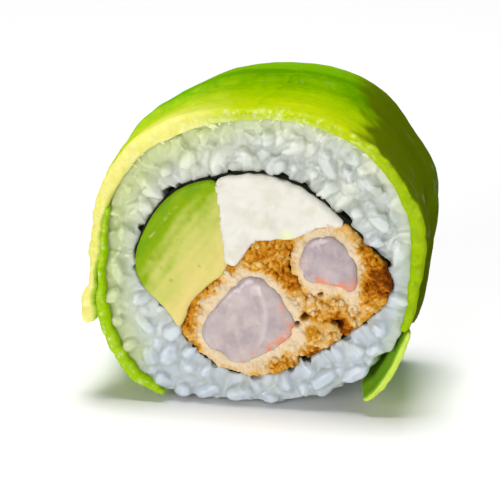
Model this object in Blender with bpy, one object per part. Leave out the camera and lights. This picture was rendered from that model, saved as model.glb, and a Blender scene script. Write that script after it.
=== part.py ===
"""Uramaki roll: one cut piece of inside-out sushi, lying on its curved side.

Metres, +Z up. The roll's axis runs along Y and the shown cut face looks along -Y.
The origin is on the small flat spot that the roll rests on, halfway along the roll.
Outlines are drawn in the X-Z plane in millimetres, and MM turns them into metres.
"""
import math

import bmesh
import bpy
import numpy as np
from mathutils import Matrix, Vector, noise

MM = 0.001

# Driving dimensions, in millimetres and degrees
HALF_LENGTH = 12.0
GAP = 0.3
RICE_CENTRE = (-0.5, 21.7)
FILLING_CENTRE = (0.7, 20.2)
# Radii of the rice ring's outside and of the filling, at even angles from +X
RICE_RADII = (22.3, 23.5, 23.8, 22.9, 21.8, 21.8, 22.6, 22.3,
              22.1, 23.5, 24.6, 23.5, 22.3, 21.9, 22.7, 22.7)
FILLING_RADII = (18.7, 15.8, 14.3, 14.6, 15.2, 15.7, 17.4, 18.1,
                 18.4, 15.0, 15.1, 15.5, 15.1, 14.0, 13.9, 15.9)
NORI_THICKNESS = 0.45
NORI_SHORT_OF_FACE = 0.5
GRAIN_LENGTH = 6.2
GRAIN_WIDTH = 2.9
GRAIN_PROUD = 1.7
RICE_ROUNDING = 0.5
# The filling turns this far from the shown face to the hidden one
FILLING_TURN = 7.0
STILL_RADIUS = 20.6
# Bare rice shows underneath, between these angles round the rice ring
BARE_RICE = (238.0, 308.0)

# Borders between the fillings on the cut face, each from the middle outwards
AVOCADO_TO_CHEESE = ((-4.5, 22.2), (-4.6, 25.2), (-5.1, 28.7), (-5.7, 33.0), (-6.0, 36.5))
AVOCADO_TO_COATING = ((-4.5, 22.2), (-5.2, 20.6), (-7.1, 19.1), (-8.7, 17.5),
                      (-10.2, 15.6), (-11.0, 13.0), (-12.6, 10.4))
CHEESE_TO_COATING = ((-4.5, 22.0), (-3.0, 22.2), (-1.6, 24.6), (-0.1, 26.0), (2.7, 26.5),
                     (5.1, 26.5), (7.9, 28.2), (10.3, 28.9), (12.2, 28.7), (15.0, 29.2))
COATING_CRACK = ((5.1, 26.5), (4.8, 23.0), (5.2, 20.7), (5.9, 19.2), (7.0, 17.4),
                 (7.2, 15.6), (8.0, 14.1), (10.5, 13.8), (12.4, 12.2), (14.0, 11.0))
LOWER_SHRIMP = ((-1.0, 20.3), (1.7, 19.3), (4.0, 16.2), (5.4, 13.0), (4.1, 10.9),
                (0.8, 8.6), (-2.4, 7.0), (-4.6, 7.6), (-7.3, 9.6), (-8.0, 12.0),
                (-6.2, 15.0), (-3.2, 18.7))
UPPER_SHRIMP = ((7.6, 26.0), (9.9, 26.9), (11.9, 26.0), (13.9, 23.6), (14.2, 21.0),
                (14.0, 18.9), (12.3, 19.6), (9.8, 19.9), (7.2, 20.5), (6.3, 23.1))

# Topping slices, one row for each place round the rice: angle, lift off the rice at the
# front, lift at the slice's back edge, thickness, and how far back the slice reaches
LEFT_SLICE = ((91.0, 0.3, 1.7, 1.3, 6.0), (112.0, 0.3, 1.7, 1.8, 6.5), (130.0, 0.3, 1.7, 2.0, 3.5),
              (146.0, 0.4, 1.7, 1.9, -1.5), (159.0, 0.7, 1.7, 1.7, -4.0),
              (168.0, 1.0, 1.2, 1.4, -5.0), (180.0, 1.5, 1.6, 1.3, -5.0),
              (186.5, 1.7, 1.8, 0.9, -5.0), (193.5, 2.1, 2.0, 1.5, -5.2),
              (201.0, 2.6, 2.4, 1.6, -6.0))
RIGHT_SLICE = ((-20.0, 0.3, 1.7, 0.6, -4.0), (-10.0, 0.3, 1.7, 1.1, -2.5), (0.0, 0.3, 1.7, 1.4, 0.0),
               (10.0, 0.3, 1.7, 1.8, 2.5), (20.0, 0.3, 1.7, 1.9, 5.0), (32.0, 0.3, 1.7, 1.4, 7.0),
               (52.0, 0.3, 1.7, 1.3, 7.0), (70.0, 0.3, 1.7, 1.4, 6.5), (90.2, 0.3, 1.7, 1.3, 6.0))
LOWER_LEFT_SLICE = ((159.6, 0.3, 0.3, 0.4, 12.0), (168.0, 0.3, 0.3, 0.4, 12.0),
                    (180.0, 0.3, 0.3, 0.8, 12.0), (190.0, 0.3, 0.3, 1.0, 12.0),
                    (201.0, 0.3, 0.3, 1.6, 12.0), (214.0, 0.3, 0.3, 1.2, 12.0),
                    (226.0, 0.3, 0.3, 1.0, 12.0), (236.0, 0.3, 0.3, 0.4, 12.0))
LOWER_RIGHT_SLICE = ((-49.0, 1.5, 0.4, 1.0, 11.6), (-44.0, 1.5, 0.4, 1.3, 11.6),
                     (-36.0, 0.9, 0.3, 1.3, 11.6), (-28.0, 0.4, 0.3, 1.1, 11.6),
                     (-21.2, 0.3, 0.3, 0.7, 11.6))
BACK_SLICE_ANGLES = (-20.0, 158.0)
BACK_SLICE_THICKNESS = 1.9
BACK_SLICE_OVERLAP = 3.2
BACK_SLICE_TUCKED = 0.5
SLICE_FRONT = -12.2
# The seam on top leans this far round the roll from its front end to its back end
SEAM_ANGLE = 90.0
SEAM_LEAN = -15.0
SEAM_SPREAD = 100.0

RICE_SIDES = 72
NORI_SIDES = 60
SLICE_STEP = 6.0
CURVE_STEPS = 12
GRAIN_SIDES = 5
GRAIN_RINGS = ((-0.76, 0.74), (0.0, 1.0), (0.76, 0.74))
GRAIN_CROWDING = 0.66
FACE_TRIES = 12000
UNDERSIDE_TRIES = 1500
SEED = 11

COLOURS = {
    "rice": (0.66, 0.69, 0.65),
    "nori": (0.012, 0.016, 0.006),
    "avocado_filling": (0.50, 0.58, 0.08),
    "cream_cheese": (0.84, 0.82, 0.76),
    "shrimp": (0.60, 0.52, 0.51),
    "coating": (0.66, 0.36, 0.09),
    "avocado_slice": (0.40, 0.62, 0.03),
}
ROUGHNESS = {"rice": 0.45, "nori": 0.5, "avocado_filling": 0.35, "cream_cheese": 0.5,
             "shrimp": 0.35, "coating": 0.75, "avocado_slice": 0.35}


def clear_scene():
    for item in list(bpy.data.objects):
        bpy.data.objects.remove(item, do_unlink=True)


def material(name):
    made = bpy.data.materials.get(name)
    if made is None:
        made = bpy.data.materials.new(name)
        made.use_nodes = True
        shader = made.node_tree.nodes["Principled BSDF"]
        shader.inputs["Base Color"].default_value = (*COLOURS[name], 1.0)
        shader.inputs["Roughness"].default_value = ROUGHNESS[name]
        shader.inputs["Metallic"].default_value = 0.0
    return made


def smooth_points(corners, closed):
    """Points along a smooth curve that passes through each corner."""
    corners = np.array(corners, float)
    count = len(corners)
    spans = count if closed else count - 1
    points = []
    for i in range(spans):
        if closed:
            a, b, c, d = (corners[(i + k) % count] for k in (-1, 0, 1, 2))
        else:
            a, b, c, d = (corners[min(max(i + k, 0), count - 1)] for k in (-1, 0, 1, 2))
        for t in np.arange(CURVE_STEPS) / CURVE_STEPS:
            points.append(0.5 * (2 * b + (c - a) * t + (2 * a - 5 * b + 4 * c - d) * t ** 2
                                 + (3 * b - a - 3 * c + d) * t ** 3))
    if not closed:
        points.append(corners[-1])
    return np.array(points)


def evenly_spaced(loop, count):
    """The closed loop again, with its points at even distances."""
    ends = np.vstack([loop, loop[:1]])
    along = np.concatenate([[0], np.cumsum(np.linalg.norm(np.diff(ends, axis=0), axis=1))])
    wanted = np.arange(count) * along[-1] / count
    return np.stack([np.interp(wanted, along, ends[:, k]) for k in (0, 1)], axis=1)


def radius_at(radii, degrees):
    """A radius between the given ones, which stand at even angles, without a corner."""
    count = len(radii)
    place = (degrees % 360.0) / 360.0 * count
    i, t = int(place) % count, place - int(place)
    a, b, c, d = (radii[(i + k) % count] for k in (-1, 0, 1, 2))
    return 0.5 * (2 * b + (c - a) * t + (2 * a - 5 * b + 4 * c - d) * t ** 2
                  + (3 * b - a - 3 * c + d) * t ** 3)


def polar_loop(centre, radii, extra, count):
    """A closed loop at the radii and a bit more."""
    angles = np.arange(count) * 360.0 / count
    return np.array([on_ray(centre, angle, radius_at(radii, angle) + extra) for angle in angles])


def on_ray(centre, degrees, distance):
    angle = math.radians(degrees)
    return (centre[0] + distance * math.cos(angle), centre[1] + distance * math.sin(angle))


def ray_length(loop, centre, direction):
    """How far it is from the centre to the loop along one direction."""
    start = loop - np.array(centre)
    span = np.roll(start, -1, axis=0) - start
    side = np.array((-direction[1], direction[0]))
    across, slope = start @ side, span @ side
    with np.errstate(divide="ignore", invalid="ignore"):
        t = -across / slope
    reach = (start + span * t[:, None]) @ np.array(direction)
    hits = reach[(t >= 0) & (t <= 1) & (reach > 0)]
    return float(hits.max())


def inside_of(loop, centre, limit):
    """The loop, drawn in towards its centre wherever it leaves the limit."""
    out = []
    for point in loop:
        arm = point - np.array(centre)
        length = np.linalg.norm(arm)
        direction = arm / length
        out.append(np.array(centre) + direction * min(length, ray_length(limit, centre, direction)))
    return np.array(out)


def shifted(loop, distance):
    """The loop moved outwards by a distance, or inwards if it is negative."""
    tangent = np.roll(loop, -1, axis=0) - np.roll(loop, 1, axis=0)
    normal = np.stack([tangent[:, 1], -tangent[:, 0]], axis=1)
    normal /= np.linalg.norm(normal, axis=1)[:, None]
    area = np.sum(loop[:, 0] * np.roll(loop[:, 1], -1) - loop[:, 1] * np.roll(loop[:, 0], -1))
    return loop + normal * distance * math.copysign(1.0, area)


def matched(loop, centre, other):
    """Points of one loop in the same directions from the centre as another loop's points."""
    out = []
    for point in other:
        arm = point - np.array(centre)
        direction = arm / np.linalg.norm(arm)
        out.append(np.array(centre) + direction * ray_length(loop, centre, direction))
    return np.array(out)


def settled(point):
    """Where a drawn point ends up: the filling turns a little along the roll."""
    x, y, z = point
    dx, dz = x - RICE_CENTRE[0], z - RICE_CENTRE[1]
    inner = max(0.0, 1.0 - (math.hypot(dx, dz) / STILL_RADIUS) ** 4)
    angle = math.radians(FILLING_TURN) * inner * (y + HALF_LENGTH) / (2 * HALF_LENGTH)
    c, s = math.cos(angle), math.sin(angle)
    return Vector((RICE_CENTRE[0] + dx * c - dz * s, y, RICE_CENTRE[1] + dx * s + dz * c)) * MM


def flat_ring(loop, y, relief=None):
    """A loop in the X-Z plane as a ring of points at one place along the roll."""
    return [(p[0], y + (relief(p[0], p[1]) if relief else 0.0), p[1]) for p in loop]


def skin(name, rings, surface, poles=None):
    """A closed solid over rings of points, joined end to start or closed by two poles."""
    mesh = bmesh.new()
    rows = [[mesh.verts.new(settled(point)) for point in ring] for ring in rings]
    spans = list(zip(rows, rows[1:]))
    if poles is None:
        spans.append((rows[-1], rows[0]))
    for first, second in spans:
        for i in range(len(first)):
            j = (i + 1) % len(first)
            mesh.faces.new((first[i], first[j], second[j], second[i]))
    if poles is not None:
        for pole, row in zip(poles, (rows[0], rows[-1])):
            tip = mesh.verts.new(settled(pole))
            for i in range(len(row)):
                mesh.faces.new((row[i], row[(i + 1) % len(row)], tip))
    bmesh.ops.triangulate(mesh, faces=mesh.faces[:])
    bmesh.ops.recalc_face_normals(mesh, faces=mesh.faces[:])
    return as_object(name, mesh, surface)


def as_object(name, mesh, surface):
    data = bpy.data.meshes.new(name)
    mesh.to_mesh(data)
    mesh.free()
    data.shade_smooth()
    data.set_sharp_from_angle(angle=math.radians(50.0))
    data.materials.append(material(surface))
    made = bpy.data.objects.new(name, data)
    bpy.context.scene.collection.objects.link(made)
    return made


def crags(height, size, place):
    """Bumps of one height and size, as a function over the cut face."""
    def relief(x, z):
        return height * noise.noise(Vector((x / size, z / size, place)))
    return relief


def column(name, outline, centre, half, surface, height=0.1, size=3.0):
    """A filling that runs through the roll, with low bumps on both cut faces."""
    steps = (0.35, 0.75, 1.0)
    loops = [np.array(centre) + (outline - np.array(centre)) * step for step in steps]
    front, back = crags(height, size, 1.0), crags(height, size, 7.0)
    rings = [flat_ring(loop, -half, front) for loop in loops]
    rings += [flat_ring(outline, y) for y in (-half / 3, half / 3)]
    rings += [flat_ring(loop, half, back) for loop in reversed(loops)]
    poles = [(centre[0], y + relief(*centre), centre[1])
             for y, relief in ((-half, front), (half, back))]
    return skin(name, rings, surface, poles)


def coating(name, outline, centre, hole, half):
    """Fried coating round a shrimp: a craggy ring that runs through the roll."""
    inner = matched(hole, centre, outline)
    steps = (0.0, 0.35, 0.7, 1.0)
    loops = [inner + (outline - inner) * step for step in steps]
    front, back = crags(1.1, 1.7, 3.0), crags(1.1, 1.7, 9.0)
    rings = [flat_ring(loop, -half, front) for loop in loops]
    rings += [flat_ring(outline, y) for y in (-half / 3, half / 3)]
    rings += [flat_ring(loop, half, back) for loop in reversed(loops)]
    rings += [flat_ring(inner, 0.0)]
    return skin(name, rings, "coating")


def region(borders, round_outside, limit, centre, count, rough=0.0):
    """A filling's outline: its borders, then points past the nori, drawn in to the nori."""
    line = np.vstack([smooth_points(border, False) for border in borders])
    loop = evenly_spaced(np.vstack([line, np.array(round_outside, float)]), 6 * count)
    loop = evenly_spaced(inside_of(loop, centre, limit), count)
    loop = shifted(loop, -GAP * 0.6)
    if rough:
        loop = np.array([p + (np.array(centre) - p) / np.linalg.norm(np.array(centre) - p)
                         * rough * (0.5 + 0.5 * noise.noise(Vector((p[0], p[1], 0.5)) * 0.9))
                         for p in loop])
    return loop


def fillings():
    """Everything inside the nori: avocado, cream cheese, and two fried shrimp."""
    limit = polar_loop(FILLING_CENTRE, FILLING_RADII, -GAP * 0.5, 4 * NORI_SIDES)
    half = HALF_LENGTH
    avocado_centre, cheese_centre = (-11.0, 23.5), (0.5, 31.5)
    avocado = region((AVOCADO_TO_CHEESE[::-1], AVOCADO_TO_COATING),
                     ((-22.0, 12.0), (-24.0, 26.0), (-15.0, 38.0)), limit, avocado_centre, 32)
    column("avocado_filling", avocado, avocado_centre, half - 0.1, "avocado_filling")
    cheese = region((AVOCADO_TO_CHEESE[::-1], CHEESE_TO_COATING),
                    ((14.0, 36.0), (2.0, 40.0)), limit, cheese_centre, 34)
    column("cream_cheese", cheese, cheese_centre, half, "cream_cheese", height=0.35)

    lower_centre, upper_centre = (-1.2, 13.2), (10.5, 22.5)
    lower_hole = evenly_spaced(smooth_points(LOWER_SHRIMP, True), 96)
    upper_hole = evenly_spaced(smooth_points(UPPER_SHRIMP, True), 96)
    lower = region((COATING_CRACK[::-1], CHEESE_TO_COATING[5::-1], AVOCADO_TO_COATING),
                   ((-12.0, 2.0), (4.0, -1.0), (14.0, 4.0)), limit, lower_centre, 44, rough=0.5)
    upper = region((COATING_CRACK[::-1], CHEESE_TO_COATING[5:]),
                   ((24.0, 27.0), (24.0, 12.0)), limit, upper_centre, 40, rough=0.6)
    coating("coating_lower", lower, lower_centre, lower_hole, half - 0.35)
    coating("coating_upper", upper, upper_centre, upper_hole, half - 0.35)
    column("shrimp_lower", shifted(evenly_spaced(lower_hole, 28), -GAP), lower_centre, half, "shrimp")
    column("shrimp_upper", shifted(evenly_spaced(upper_hole, 24), -GAP), upper_centre, half, "shrimp")


def nori():
    """The dark sheet round the filling, a thin tube with slightly wavy cut edges."""
    inner = polar_loop(FILLING_CENTRE, FILLING_RADII, 0.0, NORI_SIDES)
    outer = polar_loop(FILLING_CENTRE, FILLING_RADII, NORI_THICKNESS, NORI_SIDES)
    edge = HALF_LENGTH - NORI_SHORT_OF_FACE
    wave = crags(0.5, 4.0, 5.0)
    skin("nori", [flat_ring(inner, -edge, wave), flat_ring(outer, -edge, wave), flat_ring(outer, 0.0),
                  flat_ring(outer, edge, wave), flat_ring(inner, edge, wave), flat_ring(inner, 0.0)],
         "nori")


def rice_outside(degrees, lift=0.0):
    """A point on the rice ring's outside, or lifted off it."""
    return on_ray(RICE_CENTRE, degrees, radius_at(RICE_RADII, degrees) + lift)


def rice_core():
    """The rice ring without its grains, with the flat spot that the roll rests on."""
    angles = np.arange(RICE_SIDES) * 360.0 / RICE_SIDES

    def outside(lift):
        return np.array([(x, max(z, 0.0)) for x, z in (rice_outside(a, lift) for a in angles)])

    inner = polar_loop(FILLING_CENTRE, FILLING_RADII, NORI_THICKNESS + GAP, RICE_SIDES)
    face = HALF_LENGTH - GRAIN_PROUD
    wall = outside(0.0)
    rim = outside(-RICE_ROUNDING)
    rings = [flat_ring(inner, -face), flat_ring(rim, -face), flat_ring(wall, -face + RICE_ROUNDING),
             flat_ring(wall, face - RICE_ROUNDING), flat_ring(rim, face), flat_ring(inner, face),
             flat_ring(inner, 0.0)]
    return skin("rice", rings, "rice")


def grain(index, place, turn, length, width):
    """One grain of rice, with few sides."""
    mesh = bmesh.new()
    rows = []
    for along, share in GRAIN_RINGS:
        row = []
        for k in range(GRAIN_SIDES):
            a = 2 * math.pi * k / GRAIN_SIDES
            row.append((along * length / 2, share * width / 2 * math.cos(a),
                        share * width / 2 * math.sin(a)))
        rows.append(row)
    tips = ((-length / 2, 0, 0), (length / 2, 0, 0))
    put = Matrix.Translation(Vector(place)) @ turn.to_4x4()
    rows = [[mesh.verts.new(settled(put @ Vector(p))) for p in row] for row in rows]
    for first, second in zip(rows, rows[1:]):
        for i in range(GRAIN_SIDES):
            j = (i + 1) % GRAIN_SIDES
            mesh.faces.new((first[i], first[j], second[j], second[i]))
    for tip, row in zip(tips, (rows[0], rows[-1])):
        end = mesh.verts.new(settled(put @ Vector(tip)))
        for i in range(GRAIN_SIDES):
            mesh.faces.new((row[i], row[(i + 1) % GRAIN_SIDES], end))
    bmesh.ops.triangulate(mesh, faces=mesh.faces[:])
    bmesh.ops.recalc_face_normals(mesh, faces=mesh.faces[:])
    data = bpy.data.meshes.new(f"grain_{index}")
    mesh.to_mesh(data)
    mesh.free()
    return bpy.data.objects.new(f"grain_{index}", data)


def face_room(x, z):
    """How far a spot on the cut face is from the nori, the topping and the base."""
    dx, dz = x - FILLING_CENTRE[0], z - FILLING_CENTRE[1]
    inner = radius_at(FILLING_RADII, math.degrees(math.atan2(dz, dx))) + NORI_THICKNESS + GAP
    ox, oz = x - RICE_CENTRE[0], z - RICE_CENTRE[1]
    angle = math.degrees(math.atan2(oz, ox)) % 360.0
    bare = BARE_RICE[0] + 3 < angle < BARE_RICE[1] - 3
    outer = radius_at(RICE_RADII, angle) + (0.7 if bare else -0.05)
    return min(math.hypot(dx, dz) - inner, outer - math.hypot(ox, oz), z - 0.12)


def face_grains(draw, side):
    """Grains lying in one cut face, spread evenly by trying places one after another."""
    placed = []
    spots = np.empty((0, 3))
    for attempt in range(FACE_TRIES):
        angle = draw.uniform(0.0, 360.0)
        outer = radius_at(RICE_RADII, angle)
        x, z = on_ray(RICE_CENTRE, angle, draw.uniform(outer - 10.0, outer + 0.5))
        length = GRAIN_LENGTH * draw.uniform(0.65, 1.0)
        lean = math.radians(draw.choice((60.0, 30.0, 10.0)) * draw.uniform(0.7, 1.0))
        course = math.radians(angle + 90.0 + draw.uniform(-60.0, 60.0))
        narrow = GRAIN_WIDTH * (0.72 if attempt > FACE_TRIES / 2 else 0.95)
        axis = Vector((math.cos(course) * math.cos(lean), math.sin(lean),
                       math.sin(course) * math.cos(lean)))
        arm = (length - narrow) / 2
        ends = [(x + k * arm * axis.x, z + k * arm * axis.z) for k in (-1, 0, 1)]
        width = min(GRAIN_WIDTH, 2 * min(face_room(*end) for end in ends))
        if width < narrow:
            continue
        near = [np.hypot(spots[:, 0] - px, spots[:, 1] - pz) - GRAIN_CROWDING * (spots[:, 2] + width) / 2
                for px, pz in ends]
        if len(spots) and min(gap.min() for gap in near) < 0.0:
            continue
        spots = np.vstack([spots, [(px, pz, width) for px, pz in ends]])
        deep = arm * abs(axis.y) + width / 2
        y = side * (HALF_LENGTH + draw.uniform(-0.25, 0.15) - deep)
        placed.append(((x, y, z), axis.to_track_quat("X", "Z").to_matrix(), length, width))
    return placed


def underside_grains(draw):
    """Grains lying in the bare outside of the rice ring, clear of the flat spot."""
    placed = []
    for _ in range(UNDERSIDE_TRIES):
        angle = draw.uniform(*BARE_RICE)
        width = GRAIN_WIDTH * draw.uniform(0.9, 1.05)
        x, z = rice_outside(angle, 0.55 - width / 2)
        y = draw.uniform(-9.0, 9.0)
        course = draw.uniform(0.0, math.pi)
        turned = math.radians(angle + 90.0)
        axis = Vector((math.cos(course) * math.cos(turned), math.sin(course),
                       math.cos(course) * math.sin(turned)))
        arm = (GRAIN_LENGTH * 0.85 - width) / 2
        ends = [Vector((x, y, z)) + axis * k * arm for k in (-1, 0, 1)]
        if any(end.z - width / 2 < 0.12 for end in ends):
            continue
        if any((end - q).length < 0.8 * width for end in ends for p in placed for q in p[4]):
            continue
        reach = [math.degrees(math.atan2(e.z - RICE_CENTRE[1], e.x - RICE_CENTRE[0])) % 360.0
                 for e in ends]
        if min(reach) < BARE_RICE[0] + 4 or max(reach) > BARE_RICE[1] - 4:
            continue
        placed.append(((x, y, z), axis.to_track_quat("X", "Z").to_matrix(),
                       GRAIN_LENGTH * 0.85, width, ends))
    return [p[:4] for p in placed]


def fuse(core, pieces):
    """One solid out of the core and the pieces, without scraps or sealed hollows."""
    group = bpy.data.collections.new("grains")
    bpy.context.scene.collection.children.link(group)
    for piece in pieces:
        group.objects.link(piece)
    union = core.modifiers.new("union", "BOOLEAN")
    union.operation = "UNION"
    union.operand_type = "COLLECTION"
    union.collection = group
    union.solver = "EXACT"
    bpy.context.view_layer.update()
    whole = core.evaluated_get(bpy.context.evaluated_depsgraph_get())
    mesh = bmesh.new()
    mesh.from_mesh(whole.to_mesh())
    whole.to_mesh_clear()
    core.modifiers.remove(union)
    for piece in pieces:
        bpy.data.objects.remove(piece, do_unlink=True)
    bpy.data.collections.remove(group)
    bmesh.ops.remove_doubles(mesh, verts=mesh.verts[:], dist=0.002 * MM)
    bmesh.ops.dissolve_degenerate(mesh, edges=mesh.edges[:], dist=0.002 * MM)
    keep_largest(mesh)
    bmesh.ops.triangulate(mesh, faces=mesh.faces[:])
    mesh.to_mesh(core.data)
    mesh.free()
    core.data.shade_smooth()
    core.data.set_sharp_from_angle(angle=math.radians(50.0))


def keep_largest(mesh):
    """Only the body with the most faces stays, so scraps and sealed hollows go."""
    waiting = set(mesh.verts)
    bodies = []
    while waiting:
        body, edge = set(), [waiting.pop()]
        while edge:
            vert = edge.pop()
            body.add(vert)
            for link in vert.link_edges:
                other = link.other_vert(vert)
                if other in waiting:
                    waiting.remove(other)
                    edge.append(other)
        bodies.append(body)
    bodies.sort(key=len)
    for body in bodies[:-1]:
        bmesh.ops.delete(mesh, geom=list(body), context="VERTS")


def rice():
    draw = np.random.default_rng(SEED)
    core = rice_core()
    places = face_grains(draw, -1) + face_grains(draw, 1) + underside_grains(draw)
    fuse(core, [grain(i, *place) for i, place in enumerate(places)])


def row_at(rows, degrees):
    """A topping slice's sizes at one angle, between the given rows."""
    angles = [row[0] for row in rows]
    return [float(np.interp(degrees, angles, [row[k] for row in rows])) for k in range(1, 5)]


def back_edge(degrees):
    """How far back the front slices reach at one angle, and so where the back slice shows."""
    rows = RIGHT_SLICE if degrees < (RIGHT_SLICE[-1][0] + LEFT_SLICE[0][0]) / 2 else LEFT_SLICE
    return row_at(rows, degrees)[3]


def slice_section(degrees, stations):
    """A slice's section at one angle: along its underside, then back along its top."""
    under = [(y, lift) for y, lift, _ in stations]
    over = [(y, lift + thick) for y, lift, thick in reversed(stations)]
    section = []
    for y, lift in under + over:
        x, z = rice_outside(degrees + seam_lean(degrees, y), lift)
        section.append((x, y, z))
    return section


def seam_lean(degrees, y):
    """How far the slices are turned at one place along the roll, most of all at the seam."""
    share = max(0.0, 1.0 - abs(degrees - SEAM_ANGLE) / SEAM_SPREAD)
    return SEAM_LEAN * share * (y - SLICE_FRONT) / (2 * HALF_LENGTH)


def avocado_slice(name, start, end, stations_at):
    """A topping slice bent round the rice from one angle to another."""
    count = max(4, round((end - start) / SLICE_STEP))
    angles = np.linspace(start, end, count + 1)
    rings = [slice_section(a, stations_at(a)) for a in angles]
    poles = [tuple(np.mean(ring, axis=0)) for ring in (rings[0], rings[-1])]
    return skin(name, rings, "avocado_slice", poles)


def front_stations(rows):
    """Sections of a slice that is cut at the face and rises over the slice behind it."""
    def stations(degrees):
        lift, back_lift, thick, back = row_at(rows, degrees)
        climb = back - BACK_SLICE_OVERLAP
        return ((SLICE_FRONT, lift + 0.1 * thick, 0.7 * thick), (SLICE_FRONT + 0.6, lift, thick),
                (0.5 * (SLICE_FRONT + climb - 1.6), lift, thick),
                (climb - 1.6, lift, 0.95 * thick), (climb - 0.4, max(lift, back_lift - 0.3), 0.8 * thick),
                (back - 0.4, max(lift, back_lift), 0.6 * thick), (back, max(lift, back_lift), 0.35 * thick))
    return stations


def through_stations(rows):
    """Sections of a slice that runs from one cut face to the other."""
    def stations(degrees):
        lift, back_lift, thick, back = row_at(rows, degrees)
        middle = 0.5 * (lift + back_lift)
        return ((SLICE_FRONT + 0.1, lift + 0.1 * thick, 0.7 * thick), (SLICE_FRONT + 0.7, lift, thick),
                (0.0, middle, thick), (back - 0.6, back_lift, thick),
                (back, back_lift + 0.1 * thick, 0.7 * thick))
    return stations


def back_stations(degrees):
    """Sections of the slice at the back, thin where the front slices lie over it."""
    shown = back_edge(degrees)
    fade = min(1.0, (degrees - BACK_SLICE_ANGLES[0]) / 30.0, (BACK_SLICE_ANGLES[1] - degrees) / 45.0)
    thick = 0.9 + (BACK_SLICE_THICKNESS - 0.9) * max(0.0, fade)
    end = HALF_LENGTH + 0.1
    return ((shown - BACK_SLICE_OVERLAP, GAP, BACK_SLICE_TUCKED), (shown, GAP, 2.0 * BACK_SLICE_TUCKED),
            (shown + 1.6, GAP, thick), (end - 0.6, GAP, thick), (end, GAP + 0.1, 0.7 * thick))


def topping():
    """The avocado slices laid over the rice."""
    avocado_slice("avocado_left", LEFT_SLICE[0][0], LEFT_SLICE[-1][0], front_stations(LEFT_SLICE))
    avocado_slice("avocado_right", RIGHT_SLICE[0][0], RIGHT_SLICE[-1][0], front_stations(RIGHT_SLICE))
    avocado_slice("avocado_back", *BACK_SLICE_ANGLES, back_stations)
    avocado_slice("avocado_lower_left", LOWER_LEFT_SLICE[0][0], LOWER_LEFT_SLICE[-1][0],
                  through_stations(LOWER_LEFT_SLICE))
    avocado_slice("avocado_lower_right", LOWER_RIGHT_SLICE[0][0], LOWER_RIGHT_SLICE[-1][0],
                  through_stations(LOWER_RIGHT_SLICE))


def main():
    clear_scene()
    rice()
    nori()
    fillings()
    topping()


main()
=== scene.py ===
"""Looks of the uramaki roll: rice, nori, filling and avocado topping round the fixed frame.

Shapes are worked out in millimetres in the frame's own axes: the shown cut face looks along
-Y, +Z is up. Each piece starts from its solid in the frame, or is measured on one.
"""
from __future__ import annotations

import logging
import math
from collections.abc import Sequence
from dataclasses import dataclass, field
from enum import Enum

import bmesh
import bpy
import numpy as np
from mathutils import Euler, Matrix, Vector, noise
from mathutils.bvhtree import BVHTree
from mathutils.kdtree import KDTree


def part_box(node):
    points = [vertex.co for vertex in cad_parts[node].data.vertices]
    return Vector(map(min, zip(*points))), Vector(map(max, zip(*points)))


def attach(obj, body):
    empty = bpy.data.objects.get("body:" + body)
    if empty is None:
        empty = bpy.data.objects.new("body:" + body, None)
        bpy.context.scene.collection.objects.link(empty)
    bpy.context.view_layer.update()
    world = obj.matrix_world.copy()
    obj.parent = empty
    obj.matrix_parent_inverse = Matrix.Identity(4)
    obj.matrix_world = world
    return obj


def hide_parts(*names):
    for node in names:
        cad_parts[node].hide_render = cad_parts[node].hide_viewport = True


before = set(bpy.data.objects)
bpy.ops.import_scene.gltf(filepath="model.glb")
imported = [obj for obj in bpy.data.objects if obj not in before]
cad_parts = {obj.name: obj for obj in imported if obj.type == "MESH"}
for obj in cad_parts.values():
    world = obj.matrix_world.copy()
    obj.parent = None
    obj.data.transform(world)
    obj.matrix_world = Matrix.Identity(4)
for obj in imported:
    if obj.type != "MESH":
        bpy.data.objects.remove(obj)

MM = 0.001
HALF_LENGTH = 12.0
ROLL_CENTRE = (0.0, 22.0)
LET_OUT = 0.2  # how far a smoothed filling is let out to its own size again
Color = tuple[float, float, float]
Spot = tuple[float, float, float]
log = logging.getLogger("uramaki")


class Face(Enum):
    """The two cut faces of the roll, by the sign of their Y."""

    SHOWN = -1
    HIDDEN = 1


def read_points(piece: bpy.types.Object) -> np.ndarray:
    """Reads a mesh's vertices.

    Args:
        piece: An object with a mesh.

    Returns:
        One row of X, Y and Z in millimetres for each vertex.
    """
    flat = np.zeros(len(piece.data.vertices) * 3, np.float32)
    piece.data.vertices.foreach_get("co", flat)
    return flat.reshape(-1, 3).astype(float) / MM


def write_points(piece: bpy.types.Object, points: np.ndarray) -> None:
    """Moves a mesh's vertices.

    Args:
        piece: An object with a mesh.
        points: One row in millimetres for each vertex.
    """
    piece.data.vertices.foreach_set("co", (points * MM).astype(np.float32).ravel())
    piece.data.update()


def read_normals(piece: bpy.types.Object) -> np.ndarray:
    """Reads a mesh's vertex normals.

    Args:
        piece: An object with a mesh.

    Returns:
        One unit vector for each vertex.
    """
    flat = np.zeros(len(piece.data.vertices) * 3, np.float32)
    piece.data.vertex_normals.foreach_get("vector", flat)
    return flat.reshape(-1, 3).astype(float)


def store(piece: bpy.types.Object, name: str, values: np.ndarray) -> None:
    """Keeps one number for each vertex, for a material to read.

    Args:
        piece: An object with a mesh.
        name: The attribute's name.
        values: One number for each vertex.
    """
    made = piece.data.attributes.new(name, "FLOAT", "POINT")
    made.data.foreach_set("value", np.asarray(values, np.float32))


def smoothstep(values: np.ndarray, low: float, high: float) -> np.ndarray:
    """Eases values from 0 at low to 1 at high.

    Args:
        values: Any numbers.
        low: Where the result is 0.
        high: Where the result is 1.

    Returns:
        Numbers from 0 to 1.
    """
    t = np.clip((np.asarray(values, float) - low) / (high - low), 0.0, 1.0)
    return t * t * (3 - 2 * t)


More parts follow.
